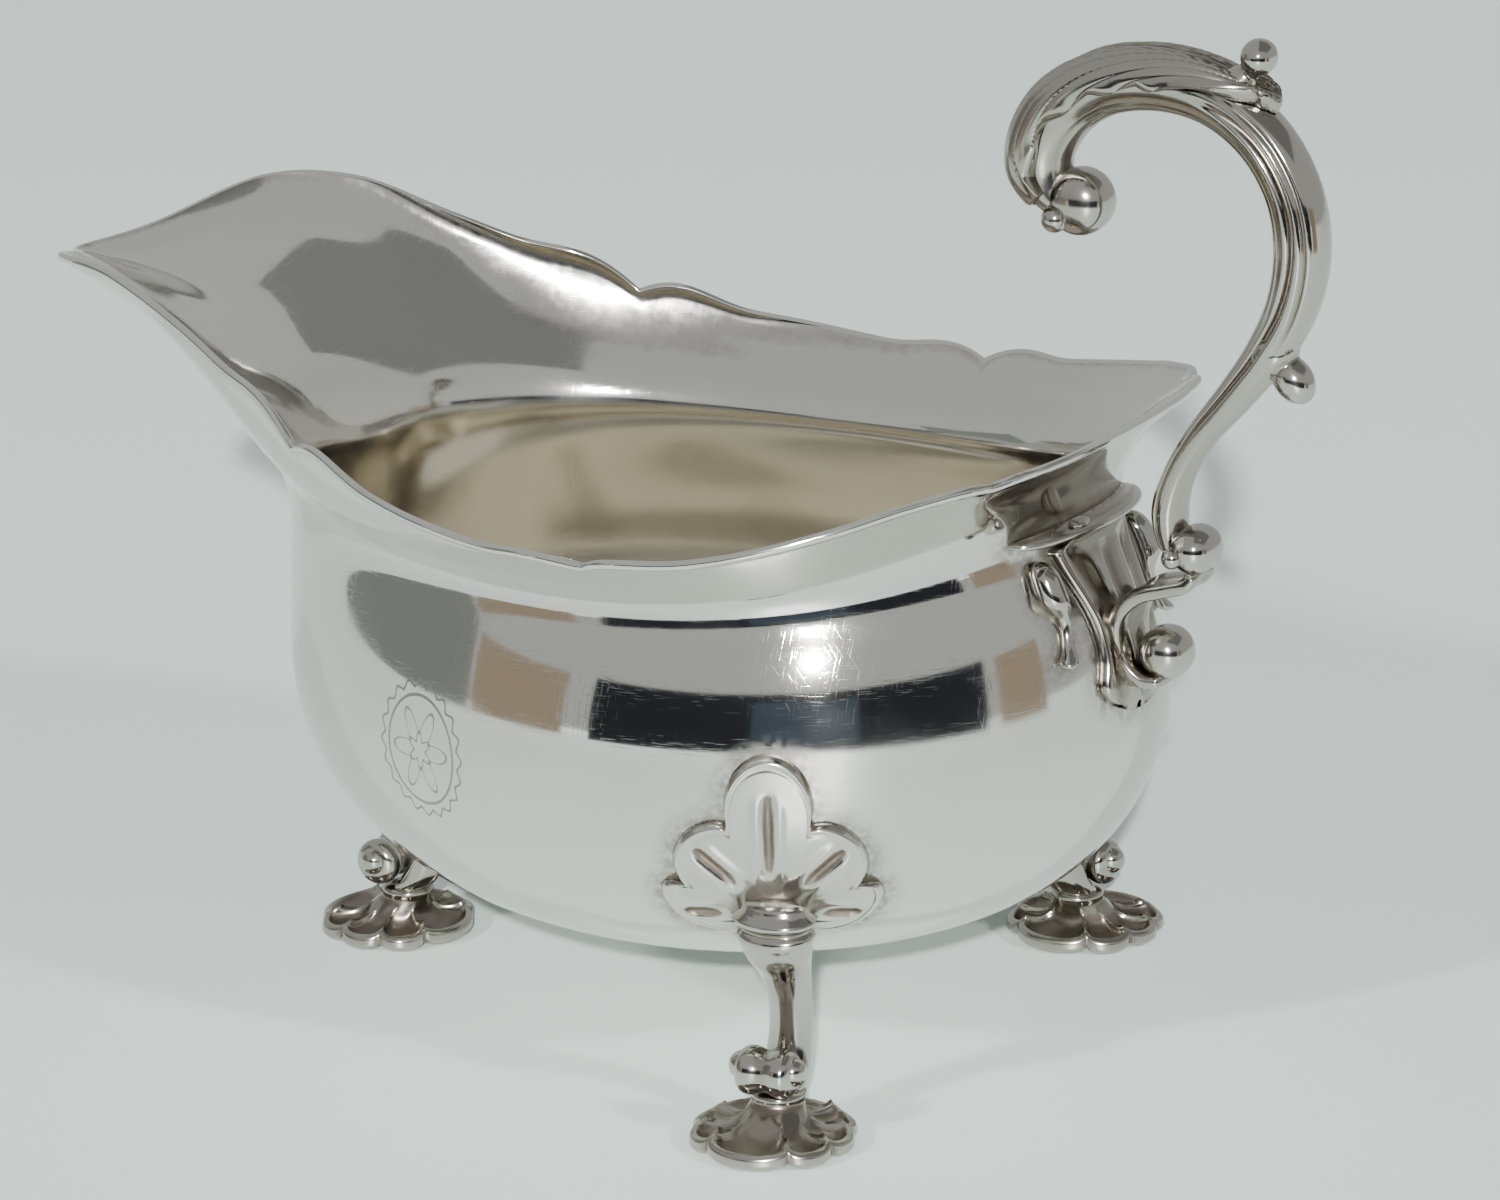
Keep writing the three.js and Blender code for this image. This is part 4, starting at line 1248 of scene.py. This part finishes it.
def mark_soil_and_contact_shade(shop: Workshop, onto: str, castings: tuple[str, ...], reach: float) -> None:
    """Store how near each vertex of a piece lies to the castings soldered to it, for tarnish and
    painted contact shade there.

    Args:
        shop: the workshop with the pieces.
        onto: name of the piece that gets the mark.
        castings: names of the pieces that it is measured from.
        reach: distance at which the mark fades out, in millimetres.
    """
    spots = [vertex.co for name in castings for vertex in shop.pieces[name].data.vertices]
    tree = KDTree(len(spots))
    for k, spot in enumerate(spots):
        tree.insert(spot, k)
    tree.balance()
    mesh = shop.pieces[onto].data
    away = [tree.find(vertex.co)[2] / (reach * MM) for vertex in mesh.vertices]
    values = [max(0.0, 1 - share) ** 1.5 for share in away]
    layer = mesh.attributes.new(Mark.SOIL_AND_SHADE.value, "FLOAT", "POINT")
    layer.data.foreach_set("value", values)


# ---- studio ------------------------------------------------------------------------------


@dataclass
class Studio:
    """Pale floor, soft light, toned reflection cards and the camera."""

    look_at: tuple = (12.18, 0.0, 58.24)
    back: tuple = (0.48324, -0.82038, 0.30571)
    distance: float = 893.07
    roll: float = -1.0163
    lens: float = 156.0

    def camera(self) -> None:
        """Place the camera."""
        data = bpy.data.cameras.new("camera")
        data.lens = self.lens
        data.sensor_width = 36.0
        data.sensor_fit = "HORIZONTAL"
        data.clip_start = 0.01
        camera = bpy.data.objects.new("camera", data)
        bpy.context.scene.collection.objects.link(camera)
        back = Vector(self.back).normalized()
        right = Vector((0, 0, 1)).cross(back).normalized()
        up = back.cross(right)
        turn = math.radians(self.roll)
        c, s = math.cos(turn), math.sin(turn)
        axes = Matrix((right * c + up * s, up * c - right * s, back)).transposed().to_4x4()
        spot = (Vector(self.look_at) + back * self.distance) * MM
        camera.matrix_world = Matrix.Translation(spot) @ axes
        bpy.context.scene.camera = camera

    def floor(self) -> None:
        """A wide pale floor, a hair below the pads."""
        bm = bmesh.new()
        bmesh.ops.create_circle(bm, cap_ends=True, segments=96, radius=4.0)
        floor = self.staged("floor", bm, {
            "Base Color": (0.73, 0.83, 0.79, 1),
            "Roughness": 0.45,
            "Specular IOR Level": 0.3,
        })
        floor.location.z = -0.2 * MM

    def staged(self, name: str, bm: bmesh.types.BMesh, look: dict) -> bpy.types.Object:
        """Make a stage piece.

        Args:
            name: its name.
            bm: its shape; freed here.
            look: what its shader's inputs are set to.

        Returns:
            The object.
        """
        mesh = bpy.data.meshes.new(name)
        bm.to_mesh(mesh)
        bm.free()
        material = bpy.data.materials.new(name)
        material.use_nodes = True
        shader = material.node_tree.nodes["Principled BSDF"]
        for socket, value in look.items():
            shader.inputs[socket].default_value = value
        mesh.materials.append(material)
        piece = bpy.data.objects.new(name, mesh)
        bpy.context.scene.collection.objects.link(piece)
        piece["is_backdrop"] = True
        return piece

    def arc(self, name: str, angles: tuple, heights: tuple, radius: float, colour: tuple) -> None:
        """An upright arc round the boat that shows only in reflections.

        Args:
            name: its name.
            angles: from and to, in degrees from the camera's direction.
            heights: bottom and top, in metres.
            radius: distance from the boat, in metres.
            colour: what it shines with.
        """
        towards = math.atan2(self.back[1], self.back[0])
        bm = bmesh.new()
        bmesh.ops.create_grid(bm, x_segments=24, y_segments=1, size=0.5)
        for vertex in bm.verts:
            angle = towards + math.radians(np.interp(vertex.co.x, (-0.5, 0.5), angles))
            height = np.interp(vertex.co.y, (-0.5, 0.5), heights)
            vertex.co = (radius * math.cos(angle), radius * math.sin(angle), height)
        self.card(name, bm, colour)

    def card(self, name: str, bm: bmesh.types.BMesh, colour: tuple) -> None:
        """Make a stage piece that only reflections see.

        Args:
            name: its name.
            bm: its shape; freed here.
            colour: what it shines with.
        """
        card = self.staged(name, bm, {
            "Base Color": (0, 0, 0, 1),
            "Specular IOR Level": 0,
            "Emission Color": (*colour, 1),
            "Emission Strength": 1.0,
        })
        card.visible_camera = False
        card.visible_diffuse = False
        card.visible_shadow = False

    def ceiling(self) -> None:
        """A grey panel overhead, behind the boat, that shows only in reflections."""
        bm = bmesh.new()
        bmesh.ops.create_grid(bm, x_segments=4, y_segments=4, size=0.5)
        shape = Matrix.Rotation(0.5, 4, "Z") @ Matrix.Diagonal((1.2, 1.4, 1, 1))
        self.card("ceiling_card", shift(bm, Vector((0.62, 0.38, 0.95)), shape), (0.24, 0.25, 0.245))

    def tent(self) -> None:
        """A pale tent all round, that shows only in reflections."""
        bm = bmesh.new()
        bmesh.ops.create_icosphere(bm, subdivisions=4, radius=12.0)
        self.card("tent", bm, (0.54, 0.56, 0.555))

    def light(self, name: str, spot: tuple, size: float, power: float, mirrored: bool) -> None:
        """A square soft light aimed at the boat, seen in the silver or not."""
        data = bpy.data.lights.new(name, "AREA")
        data.size = size
        data.energy = power
        light = bpy.data.objects.new(name, data)
        light.location = spot
        light.visible_glossy = mirrored
        away = Vector(spot) - Vector((0, 0, 0.05))
        light.rotation_euler = away.to_track_quat("Z", "Y").to_euler()
        bpy.context.scene.collection.objects.link(light)

    def world(self) -> None:
        """Pale light from all round, a little dimmer towards the top."""
        world = bpy.data.worlds.new("studio")
        bpy.context.scene.world = world
        world.use_nodes = True
        w = Wiring(world.node_tree)
        split = w.node("ShaderNodeSeparateXYZ")
        w.join(w.node("ShaderNodeTexCoord").outputs["Generated"], split.inputs[0])
        share = w.ramp(split.outputs["Z"], -0.1, 0.9)
        background = world.node_tree.nodes["Background"]
        ground, top = (0.66, 0.69, 0.68), (0.5, 0.52, 0.52)
        w.join(w.mix(share, ground, top), background.inputs["Color"])
        background.inputs["Strength"].default_value = 0.3

    def build(self) -> None:
        """Set up the whole studio."""
        self.camera()
        self.floor()
        self.world()
        warm = (0.4, 0.32, 0.24)
        self.arc("dark_card", (-46, 46), (0.03, 0.17), 0.45, (0.025, 0.028, 0.036))
        self.arc("blue_card", (-12, 12), (0.05, 0.15), 0.44, (0.06, 0.085, 0.12))
        self.arc("warm_card_left", (-72, -52), (0.03, 0.17), 0.46, warm)
        self.arc("warm_card_right", (50, 66), (0.03, 0.17), 0.46, warm)
        self.arc("grey_card_left", (-110, -73), (0.03, 0.3), 0.46, (0.25, 0.27, 0.26))
        self.ceiling()
        self.tent()
        self.light("key", (3.6, -6.51, 3.22), 0.16, 1260.0, mirrored=True)
        self.light("left", (-1.73, -4.9, 3.0), 0.4, 215.0, mirrored=False)
        self.light("right", (5.12, -0.86, 3.0), 0.4, 180.0, mirrored=False)


def main() -> None:
    """Build the boat, piece by piece."""
    logging.basicConfig(level=logging.INFO, format="%(message)s")
    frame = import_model()
    cad_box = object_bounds()
    mounts = frame["record"]["mounts"]
    finishes = Finishes()
    shop = Workshop()
    bowl = Bowl()
    shop.add("bowl", bowl.build(), finishes.bowl, "bowl", ("body",), 1.5)
    Escutcheon(bowl).build(shop, finishes)
    Handle().build(shop, finishes)
    for name, points, faces in (("front", 180, 180), ("near", -84, -64), ("far", 84, 64)):
        Foot(name, points, faces, bowl, mounts).build(shop, finishes)
    castings = (
        "knee_near", "knee_front", "knee_far", "escutcheon_shell", "neck_fillet", "side_roll_near",
    )
    # Tarnish and painted contact shade on the bowl round its castings.
    mark_soil_and_contact_shade(shop, "bowl", castings, 3.6)
    Studio().build()
    boxes = {"cad": cad_box, "visual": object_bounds()}
    {key: [list(corner) for corner in pair] for key, pair in boxes.items()}


if __name__ == "__main__":
    main()
